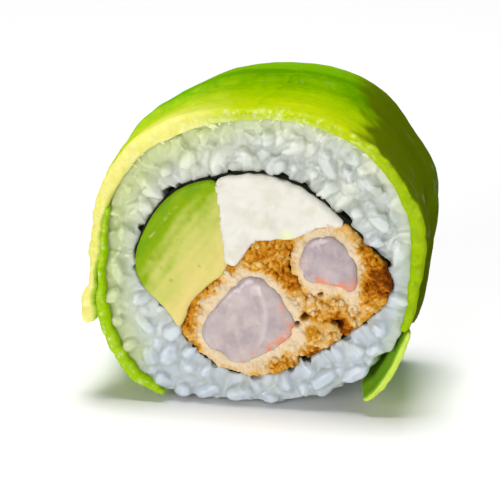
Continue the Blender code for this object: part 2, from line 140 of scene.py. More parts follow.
def wavy(points: np.ndarray, size: float, seed: float, stretch: Sequence[float] = (1, 1, 1)) -> np.ndarray:
    """Smooth noise at each point.

    Args:
        points: One row for each point.
        size: The size of a bump, in the points' units.
        seed: A place in the noise, so that two fields differ.
        stretch: How far the bumps are drawn out along each axis.

    Returns:
        Numbers from about -1 to 1.
    """
    scaled = points / (size * np.array(stretch)) + seed * 13.7
    return np.array([noise.noise(Vector(p)) for p in scaled])


@dataclass(frozen=True)
class Ripple:
    """Smooth unevenness: height, size of its bumps, place in the noise and how it is drawn out."""

    height: float
    size: float
    seed: float
    stretch: tuple[float, float, float] = (1.0, 1.0, 1.0)

    def at(self, points: np.ndarray) -> np.ndarray:
        """The unevenness at each point."""
        return self.height * wavy(points, self.size, self.seed, self.stretch)


def uneven(points: np.ndarray, ripples: Sequence[Ripple]) -> np.ndarray:
    """Adds up several ripples.

    Args:
        points: One row for each point.
        ripples: The ripples.

    Returns:
        A height for each point.
    """
    return sum(ripple.at(points) for ripple in ripples)


def cut_face(normals: np.ndarray) -> np.ndarray:
    """Where a filling's surface is one of its cut faces, from 0 to 1 for each normal."""
    return smoothstep(np.abs(normals[:, 1]), 0.4, 0.9)


def near_cut(points: np.ndarray) -> np.ndarray:
    """Where a filling is close to a cut face, from 0 to 1 for each point."""
    return smoothstep(np.abs(points[:, 1]), 9.5, 11.5)


def away_from(points: np.ndarray, x: float, z: float) -> np.ndarray:
    """How far each point lies from a place on the cut face, seen along the roll."""
    return np.hypot(points[:, 0] - x, points[:, 2] - z)


def turned_points(points: np.ndarray, cos: float, sin: float) -> np.ndarray:
    """Points turned about the roll's length, by an angle with this cosine and sine."""
    return points @ np.array(((cos, 0.0, -sin), (0.0, 1.0, 0.0), (sin, 0.0, cos)))


def join_rows(mesh: bmesh.types.BMesh, rows: Sequence[list[bmesh.types.BMVert]]) -> None:
    """Joins rings of vertices, each to the next, by bands of faces.

    Args:
        mesh: The mesh that has the rings.
        rows: The rings, which have as many vertices as each other.
    """
    for first, second in zip(rows, rows[1:]):
        for i in range(len(first)):
            j = (i + 1) % len(first)
            mesh.faces.new((first[i], first[j], second[j], second[i]))


def new_piece(name: str, mesh: bmesh.types.BMesh) -> bpy.types.Object:
    """Makes an object of a mesh that is worked out in millimetres.

    Args:
        name: The piece's name.
        mesh: The mesh, which is used up.

    Returns:
        The new object, in metres and shaded smooth.
    """
    data = bpy.data.meshes.new(name)
    bmesh.ops.transform(mesh, matrix=Matrix.Scale(MM, 4), verts=mesh.verts[:])
    mesh.to_mesh(data)
    mesh.free()
    data.shade_smooth()
    piece = bpy.data.objects.new(name, data)
    bpy.context.scene.collection.objects.link(piece)
    return piece


def copy_of_solid(node: str, name: str) -> bpy.types.Object:
    """Copies a solid of the frame as a piece of its own.

    Args:
        node: The solid's name in the frame.
        name: The new piece's name.

    Returns:
        The copy, with its split edges joined again.
    """
    mesh = bmesh.new()
    mesh.from_mesh(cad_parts[node].data)
    bmesh.ops.remove_doubles(mesh, verts=mesh.verts[:], dist=MM * 0.002)
    bmesh.ops.transform(mesh, matrix=Matrix.Scale(1 / MM, 4), verts=mesh.verts[:])
    return new_piece(name, mesh)


def bake_modifiers(piece: bpy.types.Object) -> None:
    """Applies every modifier of a piece to its mesh.

    Args:
        piece: An object with modifiers.
    """
    seen = piece.evaluated_get(bpy.context.evaluated_depsgraph_get())
    made = bpy.data.meshes.new_from_object(seen)
    old = piece.data
    piece.modifiers.clear()
    piece.data = made
    bpy.data.meshes.remove(old)
    made.name = piece.name
    made.shade_smooth()


def remesh(piece: bpy.types.Object, voxel: float, rounds: int = 2) -> None:
    """Rebuilds a piece as one even, closed skin and softens it a little.

    Args:
        piece: One or more overlapping closed bodies in one object.
        voxel: The skin's fineness in millimetres.
        rounds: How many times the skin is smoothed.
    """
    skin = piece.modifiers.new("skin", "REMESH")
    skin.mode = "VOXEL"
    skin.voxel_size = voxel * MM
    if rounds:
        soft = piece.modifiers.new("soft", "SMOOTH")
        soft.factor = 0.5
        soft.iterations = rounds
    bake_modifiers(piece)


def thin_out(piece: bpy.types.Object, hidden: np.ndarray, most: int) -> None:
    """Takes vertices out of the part of a mesh that nothing shows.

    Args:
        piece: An object with a mesh.
        hidden: True where a vertex may go.
        most: How many triangles may stay.
    """
    piece.data.calc_loop_triangles()
    share = most / len(piece.data.loop_triangles)
    if share >= 1.0:
        return
    group = piece.vertex_groups.new(name="hidden")
    group.add([int(i) for i in np.nonzero(hidden)[0]], 1.0, "REPLACE")
    fewer = piece.modifiers.new("fewer", "DECIMATE")
    fewer.ratio = share
    fewer.vertex_group = "hidden"
    fewer.vertex_group_factor = 1000.0
    bake_modifiers(piece)
    piece.vertex_groups.clear()


def thin_inside(piece: bpy.types.Object, most: int) -> None:
    """Takes vertices out of a filling's walls, which lie inside the roll.

    Args:
        piece: A piece of the filling.
        most: How many triangles may stay.
    """
    thin_out(piece, np.abs(read_points(piece)[:, 1]) < HALF_LENGTH - 3.0, most)


def start_filling(node: str, name: str, voxel: float, most: int, rounds: int = 2) -> bpy.types.Object:
    """Starts a piece of the filling from its solid, as one soft skin.

    Args:
        node: The solid's name in the frame.
        name: The new piece's name.
        voxel: The skin's fineness in millimetres.
        most: How many triangles it may have.
        rounds: How many times the skin is smoothed.

    Returns:
        The piece, fine at its cut faces and coarser inside the roll.
    """
    piece = copy_of_solid(node, name)
    remesh(piece, voxel, rounds)
    thin_inside(piece, most)
    return piece


def tree_of(node: str) -> BVHTree:
    """A search tree over one solid of the frame, in metres."""
    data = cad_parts[node].data
    return BVHTree.FromPolygons([v.co for v in data.vertices], [p.vertices for p in data.polygons])


def distance_to(points: np.ndarray, tree: BVHTree) -> np.ndarray:
    """How far points are from a solid's surface.

    Args:
        points: One row in millimetres for each point.
        tree: The solid's search tree.

    Returns:
        Distances in millimetres.
    """
    return np.array([tree.find_nearest(Vector(p) * MM)[3] for p in points]) / MM


def side_walls(points: np.ndarray, tree: BVHTree) -> np.ndarray:
    """Where the nearest part of a solid is one of its side walls, not a cut face.

    Args:
        points: One row in millimetres for each point.
        tree: The solid's search tree.

    Returns:
        Numbers from 0 at a cut face to 1 at a side wall.
    """
    facing = np.array([abs(tree.find_nearest(Vector(p) * MM)[1].y) for p in points])
    return 1 - smoothstep(facing, 0.3, 0.8)


@dataclass
class Lumps:
    """Small solid lumps that are added to a mesh by the hundred."""

    subdivisions: int = 1
    corners: list[Vector] = field(init=False)
    sides: list[tuple[int, ...]] = field(init=False)

    def __post_init__(self) -> None:
        """Works out the ball that each lump starts from."""
        ball = bmesh.new()
        bmesh.ops.create_icosphere(ball, subdivisions=self.subdivisions, radius=1.0)
        self.corners = [vert.co.copy() for vert in ball.verts]
        self.sides = [tuple(vert.index for vert in side.verts) for side in ball.faces]
        ball.free()

    def add(self, mesh: bmesh.types.BMesh, middle: Vector, turn: Matrix, reach: Vector,
            bumps: np.ndarray) -> None:
        """Adds one lump.

        Args:
            mesh: The mesh that gets the lump.
            middle: The lump's place.
            turn: How it is turned.
            reach: Its half sizes along its own axes.
            bumps: A factor for each corner's distance from the middle.
        """
        spots = [Vector((c.x * reach.x, c.y * reach.y, c.z * reach.z)) for c in self.corners]
        verts = [mesh.verts.new(middle + turn @ spot * bump) for spot, bump in zip(spots, bumps)]
        for side in self.sides:
            mesh.faces.new([verts[i] for i in side])


def place(piece: bpy.types.Object, slot: str, *nodes: str) -> None:
    """Fixes a finished piece to the roll and reports it.

    Args:
        piece: The piece.
        slot: The name of a material slot; not used.
        nodes: The solids that it stands for.
    """
    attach(piece, "root")
    if nodes:
        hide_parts(*nodes)
    piece.data.calc_loop_triangles()
    count = len(piece.data.loop_triangles)
    log.info("%s: %d triangles, stands for %s", piece.name, count, nodes or "nothing")


class Value:
    """A number or colour in a shader that takes part in Python arithmetic."""

    def __init__(self, shader: Shader, socket: bpy.types.NodeSocket) -> None:
        """Wraps an output socket of the shader's node tree."""
        self.shader = shader
        self.socket = socket

    def _math(self, operation: str, *others: Operand) -> Value:
        """Adds a Math node.

        Args:
            operation: The node's operation.
            others: What comes after this value, in order.

        Returns:
            The result.
        """
        terms = dict(enumerate((self, *others)))
        made = self.shader.node("ShaderNodeMath", {"operation": operation}, terms)
        return Value(self.shader, made.outputs[0])

    def _flipped(self, operation: str, other: Operand) -> Value:
        """Adds a Math node with the other term first.

        Args:
            operation: The node's operation.
            other: The first term.

        Returns:
            The result.
        """
        made = self.shader.node("ShaderNodeMath", {"operation": operation}, {0: other, 1: self})
        return Value(self.shader, made.outputs[0])

    def __add__(self, other: Operand) -> Value:
        """self + other."""
        return self._math("ADD", other)

    __radd__ = __add__

    def __mul__(self, other: Operand) -> Value:
        """self * other."""
        return self._math("MULTIPLY", other)

    __rmul__ = __mul__

    def __sub__(self, other: Operand) -> Value:
        """self - other."""
        return self._math("SUBTRACT", other)

    def __rsub__(self, other: Operand) -> Value:
        """other - self."""
        return self._flipped("SUBTRACT", other)

    def eased(self, low: float, high: float) -> Value:
        """Eases the value from 0 at low to 1 at high.

        Args:
            low: Where the result is 0.
            high: Where the result is 1.

        Returns:
            A value from 0 to 1.
        """
        settings = {"interpolation_type": "SMOOTHSTEP"}
        terms = {0: self, 1: low, 2: high, 3: 0.0, 4: 1.0}
        made = self.shader.node("ShaderNodeMapRange", settings, terms)
        return Value(self.shader, made.outputs[0])


Operand = Value | float


class Shader:
    """One material's node tree."""

    def __init__(self, name: str) -> None:
        """Starts a material with only its Principled shader.

        Args:
            name: The material's name.
        """
        self.material = bpy.data.materials.new(name)
        self.material.use_nodes = True
        self.tree = self.material.node_tree
        self.surface = self.tree.nodes["Principled BSDF"]

    def node(self, kind: str, settings: dict[str, object],
             terms: dict[int | str, object]) -> bpy.types.Node:
        """Adds a node.

        Args:
            kind: The node's type.
            settings: What is set on the node first, such as an operation or a ramp's stops.
            terms: The values or links of its sockets, by place or name.

        Returns:
            The new node.
        """
        made = self.tree.nodes.new(kind)
        for key, setting in settings.items():
            if key == "stops":
                self._set_stops(made.color_ramp, setting)
            else:
                setattr(made, key, setting)
        for key, term in terms.items():
            if isinstance(term, Value):
                self.tree.links.new(term.socket, made.inputs[key])
            elif isinstance(term, tuple) and len(term) == 3 and made.inputs[key].type == "RGBA":
                made.inputs[key].default_value = (*term, 1.0)
            else:
                made.inputs[key].default_value = term
        return made

    @staticmethod
    def _set_stops(ramp: bpy.types.ColorRamp, stops: Sequence[tuple[float, Color]]) -> None:
        """Gives a ramp its stops.

        Args:
            ramp: The ramp, which has two stops at first.
            stops: The place and colour of each stop, in order.
        """
        while len(ramp.elements) < len(stops):
            ramp.elements.new(1.0)
        for element, (position, color) in zip(ramp.elements, stops):
            element.position = position
            element.color = (*color, 1.0)

    def field(self, name: str) -> Value:
        """A number kept on the mesh."""
        made = self.node("ShaderNodeAttribute", {"attribute_name": name}, {})
        return Value(self, made.outputs["Fac"])

    def speckle(self, size: float, detail: float = 2.0, stretch: Sequence[float] = (1, 1, 1)) -> Value:
        """Noise through the solid.

        Args:
            size: The size of a blotch in millimetres.
            detail: How many finer layers it has.
            stretch: How far blotches are drawn out along each axis.

        Returns:
            A value around 0.5.
        """
        source = self.node("ShaderNodeTexCoord", {}, {})
        scale = tuple(1.0 / (size * MM * s) for s in stretch)
        spread = self.node("ShaderNodeMapping", {}, {0: Value(self, source.outputs["Object"]), 3: scale})
        terms = {"Vector": Value(self, spread.outputs[0]), "Scale": 1.0, "Detail": detail,
                 "Roughness": 0.55}
        made = self.node("ShaderNodeTexNoise", {}, terms)
        return Value(self, made.outputs[0])

    def blend(self, share: Operand, first: Value | Color, second: Value | Color) -> Value:
        """Mixes two colours.

        Args:
            share: 0 for the first colour and 1 for the second.
            first: A colour.
            second: A colour.

        Returns:
            The mixed colour.
        """
        made = self.node("ShaderNodeMix", {"data_type": "RGBA"}, {0: share, 6: first, 7: second})
        return Value(self, made.outputs[2])

    def ramp(self, value: Value, stops: Sequence[tuple[float, Color]]) -> Value:
        """Turns a value into a colour.

        Args:
            value: A number from 0 to 1.
            stops: The place and colour of each stop.

        Returns:
            The colour at that value.
        """
        made = self.node("ShaderNodeValToRGB", {"stops": stops}, {0: value})
        return Value(self, made.outputs[0])

    def relief(self, height: Value, depth: float, strength: float = 1.0) -> Value:
        """Fine relief for the surface's Normal.

        Args:
            height: A value from 0 to 1.
            depth: What 1 stands for, in millimetres.
            strength: How much of it shows.

        Returns:
            The bumped normal.
        """
        terms = {"Strength": strength, "Distance": depth * MM, "Height": height}
        made = self.node("ShaderNodeBump", {}, terms)
        return Value(self, made.outputs[0])

    def dress(self, piece: bpy.types.Object, constants: dict[str, object], **changing: Value) -> None:
        """Finishes the surface and gives the material to a piece.

        Args:
            piece: The piece to dress.
            constants: Numbers and colours that are the same all over, by socket name.
            changing: What changes over the surface: base, roughness, coat or normal.
        """
        names = {"base": "Base Color", "roughness": "Roughness", "coat": "Coat Weight", "normal": "Normal"}
        for key, value in constants.items():
            self.surface.inputs[key].default_value = value
        for key, value in changing.items():
            self.tree.links.new(value.socket, self.surface.inputs[names[key]])
        piece.data.materials.clear()
        piece.data.materials.append(self.material)


@dataclass(frozen=True)
class Flesh:
    """How light goes into a soft, moist food."""

    weight: float = 0.4
    radius: Color = (1.0, 0.8, 0.4)
    depth: float = 1.5
    wet: float = 0.3
    wet_roughness: float = 0.15
    gloss: float = 0.45

    def constants(self) -> dict[str, object]:
        """The shader's own settings for this food.

        Returns:
            Numbers by socket name.
        """
        return {"Subsurface Weight": self.weight, "Subsurface Radius": self.radius,
                "Subsurface Scale": self.depth * MM, "Coat Weight": self.wet,
                "Coat Roughness": self.wet_roughness, "Specular IOR Level": self.gloss}


@dataclass(frozen=True)
class Grit:
    """A surface's finest texture: its size, how dull it is and how deep its relief is."""

    size: float
    dullness: float
    spread: float
    depth: float
    strength: float
    detail: float = 3.0
    stretch: tuple[float, float, float] = (1.0, 1.0, 1.0)

    def on(self, shader: Shader) -> dict[str, Value]:
        """What the texture gives a surface.

        Args:
            shader: The surface's material.

        Returns:
            The roughness and the bumped normal.
        """
        fine = shader.speckle(self.size, self.detail, self.stretch)
        return {"roughness": fine * self.spread + self.dullness,
                "normal": shader.relief(fine, self.depth, self.strength)}


@dataclass(frozen=True)
class RiceFinish:
    """Cooked rice: translucent white grains, with painted shade between them and on the lower side, and
    greenish near the avocado.
    """

    white: Color = (0.76, 0.78, 0.68)
    grey: Color = (0.60, 0.64, 0.61)
    # Painted shade: the darker, bluer colour of the rice towards the bottom.
    lower_shade: Color = (0.54, 0.61, 0.71)
    # Painted shade: the grey of the creases between grains and of the rice deeper below the cut face.
    between: Color = (0.36, 0.39, 0.30)
    green: Color = (0.53, 0.60, 0.27)
    flesh: Flesh = Flesh(weight=0.75, radius=(1.0, 1.0, 0.9), depth=2.2, wet=0.45, wet_roughness=0.12,
                         gloss=0.4)
    grit: Grit = Grit(size=0.5, dullness=0.28, spread=0.25, depth=0.05, strength=0.4)

    def dress(self, piece: bpy.types.Object) -> None:
        """Paints the rice by each grain's own tint, with painted shade in the creases between grains and on
        the lower side.

        Args:
            piece: The piece to dress.
        """
        shader = Shader("rice")
        tint = shader.field("tint") * 0.7 + shader.speckle(2.2) * 0.5
        color = shader.blend(tint.eased(0.25, 0.85), self.white, self.grey)
        # Painted shade: darker and bluer towards the bottom.
        color = shader.blend(shader.field("lower_shade") * 0.8, color, self.lower_shade)
        # Painted shade in the creases between grains and deeper below the cut face.
        color = shader.blend(shader.field("shaded_crease") * 0.5, color, self.between)
        color = shader.blend(shader.field("near_avocado") * 0.95, color, self.green)
        shader.dress(piece, self.flesh.constants(), base=color, **self.grit.on(shader))


@dataclass(frozen=True)
class NoriFinish:
    """Dried seaweed softened by the rice: nearly black, with an olive cast."""

    dark: Color = (0.004, 0.005, 0.003)
    olive: Color = (0.016, 0.020, 0.007)
    gloss: float = 0.15
    grit: Grit = Grit(size=0.8, dullness=0.45, spread=0.3, depth=0.15, strength=0.7)

    def dress(self, piece: bpy.types.Object) -> None:
        """Paints the sheet with fine blotches and a dull sheen.

        Args:
            piece: The piece to dress.
        """
        shader = Shader("nori")
        blotch = shader.speckle(self.grit.size, self.grit.detail)
        color = shader.blend(blotch.eased(0.35, 0.7), self.dark, self.olive)
        shader.dress(piece, {"Specular IOR Level": self.gloss}, base=color, **self.grit.on(shader))


@dataclass(frozen=True)
class WedgeFinish:
    """The cut avocado in the filling: green rim, pale yellow middle."""

    rim: Color = (0.17, 0.34, 0.001)
    green: Color = (0.26, 0.40, 0.0)
    middle: Color = (0.55, 0.57, 0.13)
    pale: Color = (0.76, 0.62, 0.22)
    spot: Color = (0.26, 0.36, 0.01)
    flesh: Flesh = Flesh(weight=0.15, radius=(1.0, 0.9, 0.2), depth=1.0, wet=0.05, gloss=0.06)
    grit: Grit = Grit(size=0.6, dullness=0.3, spread=0.2, depth=0.06, strength=0.4, stretch=(1, 1, 2))

    def dress(self, piece: bpy.types.Object) -> None:
        """Paints the wedge from its rim inwards, with painted highlights along a few short streaks.

        Args:
            piece: The piece to dress.
        """
        shader = Shader("avocado_filling")
        brushed = shader.field("brushed")
        grade = shader.field("inward") + (brushed - 0.5) * 0.45 + (shader.speckle(0.9, 3.0) - 0.5) * 0.25
        stops = ((0.0, self.rim), (0.22, self.green), (0.55, self.middle), (1.0, self.pale))
        color = shader.ramp(grade, stops)
        color = shader.blend(shader.field("spot") * 0.7, color, self.spot)
        # Painted highlight: pale glints along short raised streaks on the cut face.
        color = shader.blend(shader.field("glint_streak") * 0.6, color, self.pale)
        shader.dress(piece, self.flesh.constants(), base=color, **self.grit.on(shader))


@dataclass(frozen=True)
class CheeseFinish:
    """Soft white cheese with a smeared surface."""

    white: Color = (0.76, 0.74, 0.67)
    shade: Color = (0.68, 0.65, 0.54)
    smear: Color = (0.80, 0.84, 0.40)
    flesh: Flesh = Flesh(weight=0.35, radius=(1.0, 0.95, 0.85), depth=1.0, wet=0.15, wet_roughness=0.3)
    grit: Grit = Grit(size=0.35, dullness=0.4, spread=0.2, depth=0.05, strength=0.5)

    def dress(self, piece: bpy.types.Object) -> None:
        """Paints the cheese, with a trace of avocado on it.

        Args:
            piece: The piece to dress.
        """
        shader = Shader("cream_cheese")
        soft = shader.speckle(2.6, 3.0)
        color = shader.blend(soft.eased(0.4, 0.8), self.white, self.shade)
        color = shader.blend(shader.field("smear") * 0.7, color, self.smear)
        shader.dress(piece, self.flesh.constants(), base=color, **self.grit.on(shader))


@dataclass(frozen=True)
class ShrimpFinish:
    """Cooked shrimp, cut across: translucent grey pink, orange red at its edge."""

    pale: Color = (0.55, 0.46, 0.45)
    grey: Color = (0.42, 0.34, 0.36)
    red: Color = (0.78, 0.24, 0.10)
    seam: Color = (0.68, 0.60, 0.57)
    flesh: Flesh = Flesh(weight=0.6, radius=(1.0, 0.6, 0.5), depth=1.6, wet=0.6, wet_roughness=0.1)
    grit: Grit = Grit(size=0.7, dullness=0.2, spread=0.2, depth=0.12, strength=0.6)

    def dress(self, piece: bpy.types.Object) -> None:
        """Paints the flesh, its muscle seam and its coloured skin.

        Args:
            piece: The piece to dress.
        """
        shader = Shader("shrimp")
        cloud = shader.speckle(3.0)
        color = shader.blend(cloud.eased(0.3, 0.7), self.pale, self.grey)
        veins = shader.speckle(1.5, 3.0, (0.9, 1, 1.2)).eased(0.45, 0.75)
        color = shader.blend(veins * 0.35, color, self.seam)
        color = shader.blend(shader.field("seam") * 0.5, color, self.seam)
        broken = shader.speckle(1.6, 3.0).eased(0.38, 0.62)
        color = shader.blend(shader.field("skin") * broken, color, self.red)
        shader.dress(piece, self.flesh.constants(), base=color, **self.grit.on(shader))


@dataclass(frozen=True)
class CoatingFinish:
    """Fried batter and crumbs: cream beside the shrimp, then golden, then brown."""

    cream: Color = (0.78, 0.63, 0.43)
    pale: Color = (0.74, 0.48, 0.17)
    gold: Color = (0.65, 0.30, 0.02)
    brown: Color = (0.44, 0.14, 0.002)
    dark: Color = (0.22, 0.05, 0.001)
    flesh: Flesh = Flesh(weight=0.08, radius=(1.0, 0.5, 0.2), depth=0.4, wet=0.0, gloss=0.06)
    grit: Grit = Grit(size=0.3, dullness=0.4, spread=0.3, depth=0.16, strength=0.9, detail=4.0)

    def dress(self, piece: bpy.types.Object) -> None:
        """Paints the coating by how far it is fried, with painted shade where it lies sunk and in its
        holes, and by each crumb's own tone.

        Args:
            piece: The piece to dress.
        """
        shader = Shader(piece.name)
        # The fried value also carries painted shade where the coating lies sunk below the cut face.
        fried = shader.field("fried") + (shader.speckle(0.45, 3.0) - 0.5) * 0.6
        stops = ((0.0, self.cream), (0.3, self.pale), (0.52, self.gold), (0.8, self.brown),
                 (1.0, self.dark))
        color = shader.ramp(fried, stops)
        # Painted shade: the holes in the coating are painted dark.
        color = shader.blend(shader.field("shaded_pit") * 0.8, color, self.dark)
        shader.dress(piece, self.flesh.constants(), base=color, **self.grit.on(shader))


@dataclass(frozen=True)
class Tones:
    """A slice's colours from its front rim to its back edge."""

    rim: Color
    front: Color
    middle: Color
    back: Color

    def stops(self) -> tuple[tuple[float, Color], ...]:
        """The colours with their places across the slice."""
        return ((0.0, self.rim), (0.12, self.front), (0.48, self.middle), (0.9, self.back))


PALE_TONES = Tones((0.82, 0.77, 0.22), (0.76, 0.74, 0.13), (0.50, 0.63, 0.02), (0.14, 0.40, 0.001))
LIME_TONES = Tones((0.46, 0.58, 0.006), (0.46, 0.58, 0.003), (0.28, 0.47, 0.0), (0.10, 0.28, 0.0))
# Partly painted shade: darker tones for the right side, which is turned from the light, and partly the
# slices' own deeper green.
DARK_AND_SHADED_TONES = Tones((0.33, 0.48, 0.006), (0.22, 0.37, 0.002), (0.11, 0.22, 0.001), (0.07, 0.15, 0.0))
LEAF_TONES = Tones((0.15, 0.37, 0.001), (0.11, 0.31, 0.0), (0.15, 0.38, 0.001), (0.20, 0.42, 0.003))
TIP_TONES = Tones((0.58, 0.76, 0.10), (0.62, 0.76, 0.14), (0.30, 0.54, 0.01), (0.14, 0.38, 0.002))
GREEN_TONES = Tones((0.34, 0.56, 0.01), (0.48, 0.60, 0.05), (0.24, 0.48, 0.004), (0.14, 0.38, 0.002))


@dataclass(frozen=True)
class SliceFinish:
    """One topping slice: darker on the right, partly its own deeper green and partly painted shade, lime at
    the top, pale on the left.
    """

    right: Tones = DARK_AND_SHADED_TONES
    top: Tones = LIME_TONES
    left: Tones = PALE_TONES
    shade: Color = (0.085, 0.12, 0.001)
    underneath: Color = (0.30, 0.52, 0.0)
    scratch: Color = (0.78, 0.84, 0.42)
    smear: Color = (0.88, 0.90, 0.58)
    flesh: Flesh = Flesh(weight=0.12, radius=(1.0, 0.9, 0.1), depth=0.8, wet=0.0, wet_roughness=0.25,
                         gloss=0.0)
    grit: Grit = Grit(size=0.4, dullness=0.38, spread=0.25, depth=0.09, strength=0.5)

    def dress(self, piece: bpy.types.Object) -> None:
        """Paints the slice across its width, with fibres that run along it.

        Args:
            piece: The piece to dress.
        """
        shader = Shader(piece.name)
        fibre = shader.field("fibre")
        grade = shader.field("across") + (fibre - 0.5) * 0.16 + (shader.speckle(5.0, 3.0) - 0.5) * 0.36
        grade += (shader.speckle(1.1, 3.0) - 0.5) * 0.32
        # Partly painted shade: darker tones on the right side, which is turned from the light.
        color = shader.blend(shader.field("right"), shader.ramp(grade, self.top.stops()),
                             shader.ramp(grade, self.right.stops()))
        color = shader.blend(shader.field("left"), color, shader.ramp(grade, self.left.stops()))
        color = shader.blend(shader.field("shaded") * 0.95, color, self.shade)
        patches = shader.speckle(1.4, 3.0).eased(0.38, 0.62)
        inside = shader.field("inside")
        color = shader.blend(inside * shader.field("left") * patches * 0.6, color, self.left.rim)
        smears = shader.speckle(0.8, 3.0).eased(0.5, 0.7) * (0.34 - shader.field("right") * 0.3)
        color = shader.blend(inside * smears, color, self.smear)
        color = shader.blend(shader.field("underneath") * 0.85, color, self.underneath)
        color = shader.blend(shader.field("scratch") * 0.5, color, self.scratch)
        glint = shader.speckle(2.0, 3.0).eased(0.52, 0.7) * fibre * 0.3
        shader.dress(piece, self.flesh.constants(), base=color, coat=glint, **self.grit.on(shader))


@dataclass(frozen=True)
class FloorFinish:
    """A plain pale studio floor."""

    pale: Color = (0.96, 0.96, 0.96)
    dull: Color = (0.9, 0.9, 0.9)

    def dress(self, piece: bpy.types.Object) -> None:
        """Paints the floor almost evenly.

        Args:
            piece: The piece to dress.
        """
        shader = Shader("floor")
        color = shader.blend(shader.speckle(90.0).eased(0.3, 0.7) * 0.04, self.pale, self.dull)
        shader.dress(piece, {"Roughness": 0.9, "Specular IOR Level": 0.1}, base=color)


LOW_LEFT_UP = math.radians(140.0)


@dataclass
class RingWalls:
    """The rice ring's inner and outer walls, measured on the frame.

    The radii are taken round one centre, at three places along the roll.
    """

    centre: tuple[float, float] = ROLL_CENTRE
    places: tuple[float, ...] = (-9.5, 0.0, 9.5)
    steps: int = 180
    far: float = 60.0
    inner: np.ndarray = field(init=False)
    outer: np.ndarray = field(init=False)

    def __post_init__(self) -> None:
        """Casts rays from the ring's middle and from outside it."""
        tree = tree_of("rice")
        self.inner = np.zeros((len(self.places), self.steps))
        self.outer = np.zeros((len(self.places), self.steps))
        for row, y in enumerate(self.places):
            for column in range(self.steps):
                angle = 2 * math.pi * column / self.steps
                way = Vector((math.cos(angle), 0.0, math.sin(angle)))
                middle = Vector((self.centre[0], y, self.centre[1]))
                self.inner[row, column] = tree.ray_cast(middle * MM, way)[3] / MM
                hit = tree.ray_cast((middle + way * self.far) * MM, -way)[3] / MM
                self.outer[row, column] = self.far - hit

    def _read(self, table: np.ndarray, angle: float, y: float) -> float:
        """Reads a radius between the measured ones.

        Args:
            table: Measured radii.
            angle: The direction in degrees.
            y: The place along the roll in millimetres.

        Returns:
            A radius in millimetres.
        """
        step = (angle % 360.0) / 360.0 * self.steps
        low = int(step) % self.steps
        share = step - int(step)
        column = table[:, low] * (1 - share) + table[:, (low + 1) % self.steps] * share
        return float(np.interp(y, self.places, column))

    def polar(self, x: float, z: float) -> tuple[float, float]:
        """The radius and the direction in degrees of a point on the cut face."""
        dx, dz = x - self.centre[0], z - self.centre[1]
        return math.hypot(dx, dz), math.degrees(math.atan2(dz, dx)) % 360.0

    def point(self, angle: float, radius: float, y: float) -> tuple[float, float, float]:
        """The point at a direction, a radius and a place along the roll."""
        turned = math.radians(angle)
        return (self.centre[0] + radius * math.cos(turned), y, self.centre[1] + radius * math.sin(turned))

    def inside(self, angle: float, y: float) -> float:
        """The inner wall's radius."""
        return self._read(self.inner, angle, y)

    def outside(self, angle: float, y: float) -> float:
        """The outer wall's radius."""
        return self._read(self.outer, angle, y)

    def rim_radius(self, angles: np.ndarray) -> np.ndarray:
        """The outer wall's radius near the shown face.

        Args:
            angles: Directions in degrees.

        Returns:
            Radii in millimetres.
        """
        marks = np.arange(self.steps) * 360.0 / self.steps
        return np.interp(angles, marks, self.outer[0], period=360.0)


@dataclass
class Grain:
    """One cooked grain of rice, pressed to a few flat sides."""

    middle: Vector
    axis: Vector
    length: float
    width: float
    tint: float
    bend: float
    roll: float
    corners: np.ndarray
    rings: int = 8
    bluntness: float = 2.6
    flatness: float = 0.92

    def spine(self) -> np.ndarray:
        """Four points along the grain's middle."""
        arm = (self.length - self.width) / 2
        return np.array([self.middle + self.axis * (arm * k) for k in (-1, -1 / 3, 1 / 3, 1)])

    def add_to(self, mesh: bmesh.types.BMesh) -> None:
        """Adds the grain's plump, slightly bent body to a mesh.

        Args:
            mesh: The mesh that gets the grain.
        """
        turn = self.axis.to_track_quat("X", "Z").to_matrix() @ Euler((self.roll, 0, 0)).to_matrix()
        rows = []
        for i in range(self.rings):
            along = -math.cos(math.pi * (i + 0.5) / self.rings)
            share = (1 - abs(along) ** self.bluntness) ** 0.5
            sag = self.bend * (along * along - 0.4)
            row = []
            for k, corner in enumerate(self.corners):
                a = 2 * math.pi * k / len(self.corners)
                reach = share * self.width / 2 * corner
                up = reach * self.flatness * math.sin(a) + sag
                spot = Vector((along * self.length / 2, reach * math.cos(a), up))
                row.append(mesh.verts.new(self.middle + turn @ spot))
            rows.append(row)
        join_rows(mesh, rows)
        mesh.faces.new(reversed(rows[0]))
        mesh.faces.new(rows[-1])


@dataclass(frozen=True)
class GrainMix:
    """How the grains of one kind vary, as shares of the usual grain's width and length."""

    widths: tuple[float, float]
    lengths: tuple[float, float]
    corners: tuple[float, float] = (0.88, 1.12)


